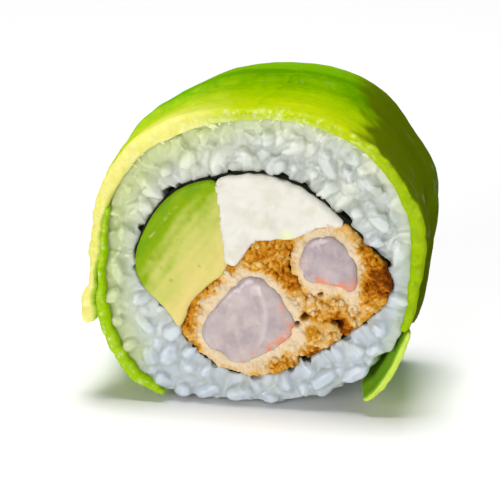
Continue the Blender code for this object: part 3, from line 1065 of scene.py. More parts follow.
@dataclass
class Rice:
    """The rice ring: grains packed over mashed rice, at both cut faces and underneath."""

    walls: RingWalls
    grain_length: float = 5.9
    grain_width: float = 2.95
    grain_sides: int = 7
    early: GrainMix = GrainMix((0.92, 1.06), (0.75, 1.08))
    late: GrainMix = GrainMix((0.72, 0.9), (0.5, 0.85))
    below: GrainMix = GrainMix((0.85, 1.05), (0.75, 1.0), (0.9, 1.08))
    late_from: float = 0.5
    bends: tuple[float, float] = (-0.3, 0.3)
    leans: tuple[float, ...] = (4.0, 18.0, 40.0, 70.0)
    turn_spread: float = 50.0
    bare_reach: float = 0.5
    covered_reach: float = 0.3
    under_reach: float = 0.2
    nori_reach: float = 0.45
    crowding: float = 0.86
    tries: int = 3600
    layers: tuple[float, ...] = (0.0, 0.65, 1.3)
    bare: tuple[float, float] = (236.0, 325.0)
    mash_short: float = 1.1
    mash_covered: float = 0.12
    mash_bare: float = -0.85
    mash_thick: float = 0.6
    under_topping: float = 0.1
    facet_size: float = 1.8
    facet_tilt: float = 0.13
    facet_lift: float = 0.3
    lap_width: float = 1.4
    lap_least: float = 0.45
    lap_swing: float = 0.75
    lap_low_right: float = 0.35
    rim_width: float = 1.3
    rim_forward: float = 0.3
    pressed_from: float = 0.3
    proud: float = 0.45
    voxel: float = 0.24
    most_triangles: int = 185000
    seed: int = 23
    finish: RiceFinish = RiceFinish()
    grains: list[Grain] = field(default_factory=list)

    def _room(self, spine: np.ndarray, width: float) -> bool:
        """Whether a grain stays between the nori, the topping and the base.

        Args:
            spine: Points along the grain's middle.
            width: The grain's width.

        Returns:
            True if it fits.
        """
        for x, y, z in spine:
            radius, angle = self.walls.polar(x, z)
            bare = self.bare[0] < angle < self.bare[1] - 8
            over = self.bare_reach if bare else self.covered_reach
            if radius + width / 2 > self.walls.outside(angle, y) + over:
                return False
            if radius - width / 2 < self.walls.inside(angle, y) - self.nori_reach:
                return False
            if z - width / 2 < 0.03:
                return False
        return True

    def _crowded(self, spine: np.ndarray, width: float, taken: list[np.ndarray],
                 widths: list[float]) -> bool:
        """Whether a grain runs too far into its neighbours.

        Args:
            spine: Points along the grain's middle.
            width: The grain's width.
            taken: The neighbours' own points.
            widths: The neighbours' widths.

        Returns:
            True if it has to go elsewhere.
        """
        if not taken:
            return False
        apart = np.array(taken)[:, None, :, :] - spine[None, :, None, :]
        gaps = np.linalg.norm(apart, axis=3).min(axis=(1, 2))
        return bool((gaps < self.crowding * (np.array(widths) + width) / 2).any())

    def _pack_layer(self, draw: np.random.Generator, face: Face, sunk: float) -> None:
        """Packs one layer of grains into a cut face.

        Args:
            draw: The random numbers.
            face: The cut face.
            sunk: How far the layer lies under the face, in millimetres.
        """
        taken, widths = [], []
        for attempt in range(self.tries):
            angle = draw.uniform(0.0, 360.0)
            y = face.value * (HALF_LENGTH - 2.0)
            radius = draw.uniform(self.walls.inside(angle, y) + 0.6, self.walls.outside(angle, y) - 0.5)
            mix = self.late if attempt > self.late_from * self.tries else self.early
            width = self.grain_width * draw.uniform(*mix.widths)
            length = max(self.grain_length * draw.uniform(*mix.lengths), width * 1.1)
            lean = math.radians(draw.choice(self.leans) * draw.uniform(0.6, 1.1))
            course = math.radians(angle + 90.0 + draw.normal(0.0, self.turn_spread))
            axis = Vector((math.cos(course) * math.cos(lean), math.sin(lean) * draw.choice((-1, 1)),
                           math.sin(course) * math.cos(lean)))
            arm = (length - width) / 2
            deep = arm * abs(axis.y) + width / 2 + sunk - draw.uniform(-0.15, 0.3)
            x, _, z = self.walls.point(angle, radius, 0.0)
            middle = Vector((x, face.value * (HALF_LENGTH - deep), z))
            grain = Grain(middle, axis, length, width, draw.uniform(), draw.uniform(*self.bends),
                          draw.uniform(0, math.pi), draw.uniform(*mix.corners, self.grain_sides))
            spine = grain.spine()
            if self._room(spine, width) and not self._crowded(spine, width, taken, widths):
                taken.append(spine)
                widths.append(width)
                self.grains.append(grain)

    def _pack_underside(self, draw: np.random.Generator) -> None:
        """Lays grains in the bare outside of the ring.

        Args:
            draw: The random numbers.
        """
        taken, widths = [], []
        for _ in range(self.tries):
            angle = draw.uniform(*self.bare)
            width = self.grain_width * draw.uniform(*self.below.widths)
            length = self.grain_length * draw.uniform(*self.below.lengths)
            y = draw.uniform(-9.0, 9.0)
            radius = self.walls.outside(angle, y) - width / 2 + draw.uniform(-0.1, 0.35)
            x, _, z = self.walls.point(angle, radius, y)
            z = max(z, width / 2 + 0.05)
            course, around = draw.uniform(0.0, math.pi), math.radians(angle + 90.0)
            axis = Vector((math.cos(course) * math.cos(around), math.sin(course),
                           math.cos(course) * math.sin(around)))
            if z < width / 2 + 0.3:
                axis.z = 0.0
                axis.normalize()
            grain = Grain(Vector((x, y, z)), axis, length, width, draw.uniform(), 0.0,
                          draw.uniform(0, math.pi), draw.uniform(*self.below.corners, self.grain_sides))
            spine = grain.spine()
            if self._clear_of_topping(spine, width) and not self._crowded(spine, width, taken, widths):
                taken.append(spine)
                widths.append(width)
                self.grains.append(grain)

    def _clear_of_topping(self, spine: np.ndarray, width: float) -> bool:
        """Whether a grain's ends stay where the rice is bare or under the topping.

        Args:
            spine: Points along the grain's middle.
            width: The grain's width.

        Returns:
            True if it fits.
        """
        for x, y, z in spine:
            radius, angle = self.walls.polar(x, z)
            bare = self.bare[0] < angle < self.bare[1] - 16
            over = self.bare_reach if bare else self.under_reach
            if radius + width / 2 > self.walls.outside(angle, y) + over or z < width / 2 + 0.02:
                return False
        return True

    def _add_mash(self, mesh: bmesh.types.BMesh) -> None:
        """Adds the mashed rice under the grains.

        Args:
            mesh: The mesh that gets the mash.
        """
        end = HALF_LENGTH - self.mash_short
        deep = end - 1.5
        outer_side = [(y, inset, True) for y, inset in ((-end, 0.4), (-deep, 0.1), (0.0, 0.1), (deep, 0.1),
                                                        (end, 0.4))]
        inner_side = [(y, inset, False) for y, inset in ((end, 0.4), (deep, 0.05), (0.0, 0.05),
                                                         (-deep, 0.05))]
        sections = [(-end, 0.4, False)] + outer_side + inner_side
        rows = []
        for y, inset, outer in sections:
            row = []
            for step in range(0, self.walls.steps, 2):
                angle = 360.0 * step / self.walls.steps
                covered = not self.bare[0] < angle < self.bare[1]
                low = self.walls.inside(angle, y) + inset
                high = self.walls.outside(angle, y) + (self.mash_covered if covered else self.mash_bare)
                radius = max(high, low + self.mash_thick) if outer else low
                row.append(mesh.verts.new(self.walls.point(angle, radius, y)))
            rows.append(row)
        join_rows(mesh, rows + rows[:1])

    def _facet(self, piece: bpy.types.Object, draw: np.random.Generator) -> None:
        """Gives the grains the flat, tilted patches of pressed rice.

        Args:
            piece: The rice.
            draw: The random numbers.
        """
        points, normals = read_points(piece), read_normals(piece)
        low, high = points.min(axis=0), points.max(axis=0)
        count = int(np.prod((high - low) / self.facet_size))
        seeds = draw.uniform(low, high, (count, 3))
        tilts = draw.normal(0.0, self.facet_tilt, (count, 3))
        tree = KDTree(count)
        for i, spot in enumerate(seeds):
            tree.insert(spot, i)
        tree.balance()
        nearest = np.array([tree.find(p)[1] for p in points])
        lean = ((points - seeds[nearest]) * tilts[nearest]).sum(axis=1)
        crisp = 0.45 + 0.55 * smoothstep(points[:, 2], 8.0, 28.0)
        lift = np.clip(lean, -self.facet_lift, self.facet_lift) * crisp + 0.04 * wavy(points, 0.8, 21.0)
        write_points(piece, points + normals * lift[:, None])

    def _hold(self, piece: bpy.types.Object) -> None:
        """Keeps the rice under the topping, and lets it lap over the nori's cut edge.

        Args:
            piece: The rice.
        """
        points = read_points(piece)
        voids = smoothstep(wavy(points, 1.9, 35.0, (1, 4, 1)), 0.22, 0.42)
        lap = 0.5 + 0.5 * wavy(points, 1.3, 22.0) - 1.15 * voids
        for i, (x, y, z) in enumerate(points):
            radius, angle = self.walls.polar(x, z)
            turned = math.radians(angle)
            inner = max(0.0, radius - self.walls.inside(angle, y))
            outer = self.walls.outside(angle, y) - radius
            covered = not self.bare[0] < angle < self.bare[1]
            near_face = min(1.0, max(0.0, abs(y) - 8.0) / 2.5)
            shift = 0.0
            if inner < self.lap_width:
                low_right = 0.5 - 0.5 * math.cos(turned - LOW_LEFT_UP)
                reach = self.lap_least + self.lap_swing * lap[i] + self.lap_low_right * low_right**2
                shift = -near_face * (1 - inner / self.lap_width) * reach
            elif covered and y < -8.0 and outer < self.rim_width:
                share = 1 - abs(outer) / self.rim_width
                shift = near_face * share * (0.2 + 0.35 * max(0.0, lap[i]))
                points[i, 1] -= self.rim_forward * near_face * share
            elif covered and outer < self.under_topping:
                shift = outer - self.under_topping
            points[i, 0] += shift * math.cos(turned)
            points[i, 2] += shift * math.sin(turned)
        write_points(piece, points)

    def _press(self, piece: bpy.types.Object) -> None:
        """Presses the tallest grains level, as the knife leaves them.

        Args:
            piece: The rice.
        """
        points = read_points(piece)
        over = np.abs(points[:, 1]) - (HALF_LENGTH - self.pressed_from)
        pressed = np.where(over > 0, self.proud * np.tanh(over / self.proud), over)
        points[:, 1] = np.sign(points[:, 1]) * (HALF_LENGTH - self.pressed_from + pressed)
        points[:, 2] = np.maximum(points[:, 2], 0.0)
        write_points(piece, points)

    def _read_grains(self, piece: bpy.types.Object) -> None:
        """Keeps each vertex's grain tint, painted shade in the creases and on the lower side, and nearness
        to the avocado.

        Args:
            piece: The rice.
        """
        spines = [grain.spine() for grain in self.grains]
        tree = KDTree(4 * len(spines))
        for i, spine in enumerate(spines):
            for k, spot in enumerate(spine):
                tree.insert(spot, 4 * i + k)
        tree.balance()
        points = read_points(piece)
        tint, shaded_crease, near = (np.zeros(len(points)) for _ in range(3))
        for i, point in enumerate(points):
            found = tree.find_n(point, 6)
            first = found[0][1] // 4
            tint[i] = self.grains[first].tint
            other = next((f[2] for f in found if f[1] // 4 != first), found[0][2] + 2.0)
            shaded_crease[i] = other - found[0][2]
            radius, angle = self.walls.polar(point[0], point[2])
            from_base = abs(angle - 270.0)
            at_base = min(1.0, max(0.0, (50.0 - from_base) / 16.0))
            near[i] = self.walls.outside(angle, point[1]) - radius + 9.0 * at_base
        # Painted shade: darker in the creases between grains and deeper below the cut face.
        deep = smoothstep(HALF_LENGTH - np.abs(points[:, 1]), 0.5, 2.2)
        store(piece, "tint", tint)
        store(piece, "shaded_crease", np.maximum(1 - smoothstep(shaded_crease, 0.0, 0.5), deep * 0.8))
        # Painted shade: darker and bluer towards the bottom, a little more on the right.
        below = 0.25 * points[:, 0] - 0.85 * (points[:, 2] - ROLL_CENTRE[1])
        store(piece, "lower_shade", smoothstep(below, -8.0, 11.0))
        left = smoothstep(-points[:, 0], -16.0, 16.0)
        store(piece, "near_avocado", (1 - smoothstep(near, 0.0, 2.0 + 4.5 * left)) * (0.35 + 0.65 * left))

    def build(self) -> bpy.types.Object:
        """Builds and dresses the rice.

        Returns:
            The rice as one piece.
        """
        draw = np.random.default_rng(self.seed)
        for face in Face:
            for sunk in self.layers:
                self._pack_layer(draw, face, sunk)
        self._pack_underside(draw)
        mesh = bmesh.new()
        self._add_mash(mesh)
        for grain in self.grains:
            grain.add_to(mesh)
        bmesh.ops.recalc_face_normals(mesh, faces=mesh.faces[:])
        piece = new_piece("rice_ring", mesh)
        remesh(piece, self.voxel, rounds=1)
        self._facet(piece, draw)
        points = read_points(piece)
        polar = np.array([self.walls.polar(x, z) for x, _, z in points])
        bare = (self.bare[0] < polar[:, 1]) & (polar[:, 1] < self.bare[1]) & (polar[:, 0] > 18.0)
        thin_out(piece, (np.abs(points[:, 1]) < 8.5) & ~bare, self.most_triangles)
        self._hold(piece)
        self._press(piece)
        self._read_grains(piece)
        log.info("%d grains", len(self.grains))
        self.finish.dress(piece)
        place(piece, "rice", "rice")
        return piece


@dataclass
class Nori:
    """The seaweed sheet round the filling, with uneven cut edges."""

    cuts: int = 2
    ripple: float = 0.2
    roughness: float = 0.12
    thinner: float = 0.2
    ragged: float = 0.4
    inset: float = 0.35
    inset_low_right: float = 0.9
    finish: NoriFinish = NoriFinish()

    def build(self) -> bpy.types.Object:
        """Builds and dresses the nori.

        Returns:
            The nori as one piece.
        """
        piece = copy_of_solid("nori", "nori_sheet")
        finer = piece.modifiers.new("finer", "SUBSURF")
        finer.subdivision_type = "SIMPLE"
        finer.levels = finer.render_levels = self.cuts
        bake_modifiers(piece)
        points, normals = read_points(piece), read_normals(piece)
        side = np.abs(normals[:, 1]) < 0.6
        edge = smoothstep(np.abs(points[:, 1]), 9.0, 11.3)
        rough = self.roughness * wavy(points, 0.8, 1.0)
        points += normals * (side * (rough - self.thinner * edge))[:, None]
        away = points[:, [0, 2]] - np.array(ROLL_CENTRE)
        away /= np.linalg.norm(away, axis=1)[:, None]
        shift = self.ripple * wavy(points, 1.8, 3.0, (1, 4, 1))
        points[:, [0, 2]] += away * shift[:, None]
        low_right = 0.5 - 0.5 * (away @ np.array((math.cos(LOW_LEFT_UP), math.sin(LOW_LEFT_UP))))
        broken = wavy(points, 0.9, 2.0, (1, 9, 1)) + 1.2 * wavy(points, 3.5, 5.0, (1, 9, 1))
        inset = self.inset + self.inset_low_right * low_right**2 - self.ragged * broken
        points[:, 1] -= np.sign(points[:, 1]) * edge * inset
        write_points(piece, points)
        self.finish.dress(piece)
        place(piece, "nori", "nori")
        return piece


@dataclass
class AvocadoWedge:
    """The thick piece of avocado in the filling."""

    voxel: float = 0.25
    rim_side: tuple[float, float] = (-0.80, 0.60)
    far_corner: tuple[float, float] = (-5.2, 20.5)
    spots: tuple[Spot, ...] = ((-15.4, 22.4, 0.5), (-9.8, 28.6, 0.3), (-8.4, 21.6, 0.22),
                               (-12.6, 19.2, 0.25), (-14.0, 21.0, 0.18), (-11.6, 25.4, 0.16))
    # Short raised streaks on the cut face that carry painted highlights.
    streaks: tuple[Spot, ...] = ((-12.2, 29.8, 0.3), (-13.4, 28.4, 0.24), (-15.2, 26.0, 0.26))
    ripples: tuple[Ripple, ...] = (Ripple(0.16, 3.0, 3.0, (1, 1, 2)), Ripple(0.06, 0.8, 4.0, (2, 1, 1)))
    bulge: float = 0.3
    brush_depth: float = 0.12
    glint_streak_height: float = 0.2
    most_triangles: int = 34000
    finish: WedgeFinish = WedgeFinish()

    def build(self) -> bpy.types.Object:
        """Builds and dresses the wedge.

        Returns:
            The wedge as one piece.
        """
        piece = start_filling("avocado_filling", "avocado_wedge", self.voxel, self.most_triangles)
        points, normals = read_points(piece), read_normals(piece)
        rim = distance_to(points, tree_of("nori"))
        face = cut_face(normals)
        swell = LET_OUT + face * uneven(points, self.ripples)
        broken = smoothstep(wavy(points, 0.5, 43.0), -0.3, 0.2)
        # Painted highlight: short streaks, raised a little, that are painted pale as glints.
        glint_streak = self._near(points, self.streaks, (0.5, 3.0)) * broken
        brushed = wavy(turned_points(points, 0.6, 0.8), 1.1, 41.0, (6.0, 1, 1))
        swell += (1 - face) * self.bulge * near_cut(points) + self.brush_depth * face * brushed
        write_points(piece, points + normals * (swell + self.glint_streak_height * glint_streak * face)[:, None])
        toward = ((points[:, 0] - self.far_corner[0]) * self.rim_side[0]
                  + (points[:, 2] - self.far_corner[1]) * self.rim_side[1])
        inward = 1 - smoothstep(toward + 1.5 * wavy(points, 4.0, 42.0), -4.0, 15.5)
        green_rim = (1 - smoothstep(rim, 0.0, 2.6)) * smoothstep(toward, 3.0, 9.0)
        store(piece, "inward", np.clip(inward * 0.95 + 0.14 - green_rim * 0.3, 0.0, 1.0))
        store(piece, "brushed", 0.5 + 0.5 * brushed)
        store(piece, "spot", self._near(points, self.spots, (1.0, 1.0)) * face)
        store(piece, "glint_streak", glint_streak * face)
        self.finish.dress(piece)
        place(piece, "avocado_filling", "avocado_filling")
        return piece

    @staticmethod
    def _near(points: np.ndarray, spots: Sequence[Spot], shape: tuple[float, float]) -> np.ndarray:
        """How much each point lies on one of some spots on the cut face.

        Args:
            points: Points in millimetres.
            spots: X, Z and the radius of each spot.
            shape: How the radius is drawn out across and along the rim.

        Returns:
            Numbers from 0 to 1.
        """
        most = np.zeros(len(points))
        for x, z, radius in spots:
            dx, dz = points[:, 0] - x, points[:, 2] - z
            across = (dx * -0.75 + dz * 0.66) / shape[0]
            along = (dx * 0.66 + dz * 0.75) / shape[1]
            away = np.hypot(across, along)
            most = np.maximum(most, 1 - smoothstep(away, 0.4 * radius, 1.5 * radius))
        return most


@dataclass
class CreamCheese:
    """The soft white cheese at the top of the filling, and its loose bits."""

    voxel: float = 0.25
    smear_at: Spot = (4.3, 26.6, 1.0)
    smears: tuple[Ripple, ...] = (Ripple(0.34, 2.2, 5.0, (2.4, 1, 0.8)), Ripple(0.14, 0.8, 6.0, (2, 1, 1)))
    raggedness: float = 0.22
    bulge: float = 0.35
    most_triangles: int = 32000
    finish: CheeseFinish = CheeseFinish()

    def build(self) -> bpy.types.Object:
        """Builds and dresses the cheese.

        Returns:
            The cheese as one piece.
        """
        piece = start_filling("cream_cheese", "cream_cheese_piece", self.voxel, self.most_triangles)
        points, normals = read_points(piece), read_normals(piece)
        face = cut_face(normals)
        ragged = (1 - face) * self.raggedness * wavy(points, 1.1, 7.0)
        swell = LET_OUT + (1 - face) * self.bulge * near_cut(points) + ragged
        swell = swell + face * uneven(turned_points(points, 0.8, 0.6), self.smears)
        write_points(piece, points + normals * swell[:, None])
        x, z, radius = self.smear_at
        smear = 1 - smoothstep(away_from(points, x, z), 0.2, radius * 1.6)
        store(piece, "smear", smear * smoothstep(-points[:, 1], 9.0, 11.0))
        self.finish.dress(piece)
        place(piece, "cream_cheese", "cream_cheese")
        return piece


@dataclass
class FriedShrimp:
    """One shrimp in its fried coating, cut across."""

    name: str
    skin_side: tuple[float, float]
    seam_centre: tuple[float, float]
    seam_radius: float
    browned: tuple[tuple[float, float, float, float], ...]
    pits: tuple[Spot, ...]
    crumb_tries: int = 7000
    crumb_sizes: tuple[float, float] = (0.2, 0.36)
    crumb_kinds: tuple[float, ...] = (0.8, 1.0, 1.0, 1.5)
    crumbs_from: float = 0.24
    crumb_chance: float = 3.0
    crumb_clear: float = 1.4
    crumb_room: float = 0.22
    crumb_shape: tuple[float, float, float] = (1.7, 1.0, 0.45)
    tone_spread: float = 0.4
    tone_reach: float = 1.1
    recess: float = 0.4
    pit_depth: float = 2.2
    lumps: tuple[Ripple, ...] = (Ripple(0.2, 0.9, 9.0), Ripple(0.26, 0.42, 10.0))
    bulge: float = 0.4
    cut_at: float = 9.5
    most_triangles: int = 140000
    flesh_triangles: int = 24000
    seed: int = 5
    voxel: float = 0.17
    flesh_voxel: float = 0.25
    flesh_finish: ShrimpFinish = ShrimpFinish()
    coat_finish: CoatingFinish = CoatingFinish()

    def _build_flesh(self) -> bpy.types.Object:
        """Builds the shrimp's flesh.

        Returns:
            The flesh as one piece.
        """
        node = f"shrimp_{self.name}"
        piece = start_filling(node, f"{node}_flesh", self.flesh_voxel, self.flesh_triangles, rounds=4)
        points, normals = read_points(piece), read_normals(piece)
        face = cut_face(normals)
        wall = distance_to(points, tree_of(f"coating_{self.name}"))
        from_seam = away_from(points, *self.seam_centre) - self.seam_radius
        groove = np.exp(-(from_seam / 0.35) ** 2) * face * smoothstep(wall, 0.6, 2.0)
        dome = 0.35 * smoothstep(wall, 0.2, 3.0) * face
        fibres = 0.05 * wavy(points, 0.9, 8.0, (1, 3, 1)) * face
        snug = 0.3 * (1 - face) * near_cut(points)
        write_points(piece, points + normals * (LET_OUT + snug + dome + fibres + 0.1 * groove)[:, None])
        low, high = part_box(node)
        middle = (low + high) / 2 / MM
        arm = points[:, [0, 2]] - np.array((middle.x, middle.z))
        facing = (arm @ np.array(self.skin_side)) / (np.linalg.norm(arm, axis=1) + 1e-6)
        store(piece, "skin", (1 - smoothstep(wall, 0.35, 1.5)) * smoothstep(facing, 0.1, 0.75))
        store(piece, "seam", groove)
        self.flesh_finish.dress(piece)
        place(piece, "shrimp", node)
        return piece

    def _add_crumbs(self, mesh: bmesh.types.BMesh, flesh: BVHTree,
                    coat: BVHTree) -> list[tuple[Vector, float]]:
        """Adds crumbs to both cut faces of the coating.

        Args:
            mesh: The mesh that gets the crumbs.
            flesh: The shrimp's search tree.
            coat: The coating's search tree.

        Returns:
            Each crumb's place and tone.
        """
        draw = np.random.default_rng(self.seed)
        low, high = (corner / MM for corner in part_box(f"coating_{self.name}"))
        crumbs, lumps = [], Lumps()
        room, ways = self.crumb_room, (0.5, 2.1, 3.6, 5.2)
        beside = [Vector((room * math.cos(way), 0.0, room * math.sin(way))) for way in ways]
        for face in Face:
            for _ in range(self.crumb_tries):
                x, z = draw.uniform(low.x, high.x), draw.uniform(low.z, high.z)
                start = Vector((x, face.value * 20.0, z))
                hit, _, _, _ = coat.ray_cast(start * MM, Vector((0.0, -float(face.value), 0.0)))
                if hit is None or abs(hit.y / MM) < self.cut_at:
                    continue
                spot = hit / MM
                clear = flesh.find_nearest(hit)[3] / MM
                fried = self._fried(np.array([spot]), np.array([clear]))[0]
                if draw.uniform() > (fried - self.crumbs_from) * self.crumb_chance:
                    continue
                if self._in_pit(spot) or clear < self.crumb_clear:
                    continue
                if not all(self._on_coat(coat, start + side) for side in beside):
                    continue
                size = draw.uniform(*self.crumb_sizes) * draw.choice(self.crumb_kinds)
                size *= min(1.0, 0.55 + 0.9 * fried)
                sunk = self.recess * min(1.0, fried * 2.0) + size * draw.uniform(-0.35, 0.6)
                middle = Vector((spot.x, face.value * (HALF_LENGTH - sunk), spot.z))
                reach = Vector(np.array(self.crumb_shape) * draw.uniform(0.8, 1.25, 3) * size)
                turn = Euler(draw.uniform(0, math.tau, 3)).to_matrix()
                lumps.add(mesh, middle, turn, reach, draw.uniform(0.3, 1.45, len(lumps.corners)))
                crumbs.append((middle, draw.uniform(-self.tone_spread, self.tone_spread)))
        return crumbs

    def _on_coat(self, coat: BVHTree, start: Vector) -> bool:
        """Whether the coating's cut face lies straight behind a point in front of it."""
        hit = coat.ray_cast(start * MM, Vector((0.0, -math.copysign(1.0, start.y), 0.0)))[0]
        return hit is not None and abs(hit.y / MM) > self.cut_at

    def _in_pit(self, spot: Vector) -> bool:
        """Whether a spot lies in one of the coating's holes, which are painted dark as shade."""
        return any(math.hypot(spot.x - x, spot.z - z) < radius * 1.4 for x, z, radius in self.pits)

    def _fried(self, points: np.ndarray, clear: np.ndarray) -> np.ndarray:
        """How far the coating is fried at some points.

        Args:
            points: Points in millimetres.
            clear: Their distance from the shrimp.

        Returns:
            Numbers from 0, cream, to 1, dark brown.
        """
        blotches = 0.3 * wavy(points, 1.7, 44.0) * smoothstep(clear, 0.8, 1.8)
        fried = 0.30 * smoothstep(clear, 0.9, 2.8) + blotches
        for x, z, radius, much in self.browned:
            near = 1 - smoothstep(away_from(points, x, z), 0.3 * radius, radius)
            fried += much * near * smoothstep(clear, 0.5, 1.6)
        return np.clip(fried, 0.0, 1.0)

    def _pit(self, points: np.ndarray) -> np.ndarray:
        """How deep each point lies in one of the shown face's holes, which are painted dark as shade.

        Args:
            points: Points in millimetres.

        Returns:
            Numbers from 0 to 1.
        """
        shaded_pit = np.zeros(len(points))
        for x, z, radius in self.pits:
            shaded_pit = np.maximum(shaded_pit, 1 - smoothstep(away_from(points, x, z), radius * 0.5, radius * 1.3))
        return shaded_pit * smoothstep(-points[:, 1], 8.0, 10.0)

    def _start_coating(self, flesh: BVHTree,
                       coat: BVHTree) -> tuple[bpy.types.Object, list[tuple[Vector, float]]]:
        """Joins the coating's body and its crumbs to one skin.

        Args:
            flesh: The shrimp's search tree.
            coat: The coating's search tree.

        Returns:
            The coating, still without its fine roughness, and each crumb's place and tone.
        """
        base = copy_of_solid(f"coating_{self.name}", "coating_base")
        remesh(base, 0.35, rounds=0)
        points = read_points(base)
        fried = self._fried(points, distance_to(points, flesh))
        front = smoothstep(np.abs(points[:, 1]), 10.0, 11.0)
        points[:, 1] -= np.sign(points[:, 1]) * front * self.recess * np.minimum(1.0, fried * 2.0)
        write_points(base, points)
        mesh = bmesh.new()
        mesh.from_mesh(base.data)
        bmesh.ops.transform(mesh, matrix=Matrix.Scale(1 / MM, 4), verts=mesh.verts[:])
        bpy.data.objects.remove(base)
        crumbs = self._add_crumbs(mesh, flesh, coat)
        piece = new_piece(f"coating_{self.name}_crust", mesh)
        remesh(piece, self.voxel, rounds=0)
        thin_inside(piece, self.most_triangles)
        return piece, crumbs

    def _build_coating(self) -> bpy.types.Object:
        """Builds the fried coating.

        Returns:
            The coating as one piece.
        """
        node = f"coating_{self.name}"
        flesh, coat = tree_of(f"shrimp_{self.name}"), tree_of(node)
        piece, crumbs = self._start_coating(flesh, coat)
        points, normals = read_points(piece), read_normals(piece)
        clear = distance_to(points, flesh)
        front = smoothstep(np.abs(points[:, 1]), 9.0, 10.5)
        rough = smoothstep(clear, 0.4, 1.6) * front
        # The holes are pushed in and painted dark as shade.
        shaded_pit = self._pit(points)
        lumps = uneven(points, self.lumps)
        off_face = 1 - smoothstep(np.abs(normals[:, 1]), 0.3, 0.8)
        snug = self.bulge * side_walls(points, coat) * off_face * front
        points += normals * (LET_OUT + snug + (0.4 + 0.6 * rough) * front * lumps)[:, None]
        points[:, 1] += shaded_pit * self.pit_depth
        write_points(piece, points)
        # Painted shade: the coating is painted browner where it lies sunk below the cut face.
        sunk = smoothstep(HALF_LENGTH + 0.2 - np.abs(points[:, 1]), 0.1, 1.2) * front
        fried = self._fried(points, clear)
        fried += 0.3 * sunk * smoothstep(clear, 0.8, 1.8)
        self._tone_crumbs(fried, points, (clear > 0.8) & (front > 0.5), crumbs)
        store(piece, "fried", fried)
        store(piece, "shaded_pit", shaded_pit)
        self.coat_finish.dress(piece)
        place(piece, "coating", node)
        return piece

    def _tone_crumbs(self, fried: np.ndarray, points: np.ndarray, crusty: np.ndarray,
                     crumbs: list[tuple[Vector, float]]) -> None:
        """Makes the coating paler or browner round each crumb, by the crumb's own tone.

        Args:
            fried: How far each point is fried, with painted shade where it lies sunk, which is changed.
            points: The coating's points in millimetres.
            crusty: True where there can be crumbs.
            crumbs: Each crumb's place and tone.
        """
        tree = KDTree(max(1, len(crumbs)))
        for i, (middle, _) in enumerate(crumbs):
            tree.insert(middle, i)
        tree.balance()
        for i in np.nonzero(crusty)[0]:
            _, which, away = tree.find(points[i])
            fried[i] += crumbs[which][1] * max(0.0, 1 - away / self.tone_reach)

    def build(self) -> None:
        """Builds and dresses the flesh and its coating."""
        self._build_flesh()
        self._build_coating()


@dataclass(frozen=True)
class Swell:
    """Where the topping stands out or dips: direction, place along the roll, reach and height."""

    angle: float
    y: float
    wide: float
    long: float
    height: float


SWELLS = (Swell(88.0, 8.0, 26.0, 9.0, 0.75), Swell(60.0, 9.0, 14.0, 9.0, 0.45),
          Swell(112.0, 9.0, 12.0, 8.0, 0.35), Swell(136.0, 5.0, 7.0, 7.0, 0.75),
          Swell(37.0, 9.0, 12.0, 10.0, -0.8), Swell(-4.0, 9.0, 13.0, 10.0, -1.4),
          Swell(-26.0, 7.0, 12.0, 10.0, -1.2), Swell(171.0, -8.0, 8.0, 10.0, -0.5),
          Swell(186.0, -10.0, 5.0, 9.0, -1.4), Swell(203.0, -9.0, 12.0, 10.0, -0.65),
          Swell(19.0, -1.0, 3.5, 6.0, -0.5))


@dataclass
class SliceSkin:
    """A slice's vertices, with what is measured on them before they are moved."""

    points: np.ndarray
    normals: np.ndarray
    walls: RingWalls
    mm_per_degree: float = 0.42

    def __post_init__(self) -> None:
        """Measures how each vertex lies round the roll and on the slice."""
        polar = np.array([self.walls.polar(x, z) for x, _, z in self.points])
        self.radius = polar[:, 0]
        self.angle = (polar[:, 1] + 90.0) % 360.0 - 90.0
        self.cos, self.sin = np.cos(np.radians(self.angle)), np.sin(np.radians(self.angle))
        self.around = np.stack([self.angle * self.mm_per_degree, self.y, self.radius], axis=1)
        self.front, back = self._edges()
        self.across = (self.y - self.front) / np.maximum(back - self.front, 1.0)
        self.rim = smoothstep(-self.y, HALF_LENGTH - 1.5, HALF_LENGTH - 0.2)
        self.fibre = 0.5 + 0.5 * wavy(self.around, 0.7, 12.0, (8, 1, 3))
        self.outward = self.normals[:, 0] * self.cos + self.normals[:, 2] * self.sin
        self.facing_end = np.abs(self.normals[:, 2] * self.cos - self.normals[:, 0] * self.sin)
        self.height = self.radius - self.walls.rim_radius(self.angle)

    @property
    def y(self) -> np.ndarray:
        """Each vertex's place along the roll, in millimetres."""
        return self.points[:, 1]

    def _edges(self) -> tuple[np.ndarray, np.ndarray]:
        """Finds where the slice's front and back edges lie at each vertex's angle.

        Returns:
            The Y of the front edge and of the back edge for each vertex.
        """
        marks = np.linspace(self.angle.min(), self.angle.max(), 40)
        rows = [self.points[np.abs(self.angle - mark) < 4.0, 1] for mark in marks]
        front = np.interp(self.angle, marks, [row.min() for row in rows])
        back = np.interp(self.angle, marks, [row.max() for row in rows])
        return front, back

    def thickness(self) -> np.ndarray:
        """How far each vertex lies over the slice's inner side near the shown face.

        Returns:
            Lengths in millimetres.
        """
        marks = np.linspace(self.angle.min(), self.angle.max(), 40)
        front = self.y < 4.0 - HALF_LENGTH
        rows = [self.radius[front & (np.abs(self.angle - mark) < 4.0)] for mark in marks]
        lowest = [np.percentile(row, 4.0) if len(row) else 0.0 for row in rows]
        return np.maximum(self.radius - np.interp(self.angle, marks, lowest), 0.0)

    def move_out(self, far: np.ndarray) -> None:
        """Moves each vertex away from the roll's middle."""
        self.points[:, 0] += self.cos * far
        self.points[:, 2] += self.sin * far

    def move_round(self, far: np.ndarray) -> None:
        """Moves each vertex round the roll, along rising directions."""
        self.points[:, 0] -= self.sin * far
        self.points[:, 2] += self.cos * far


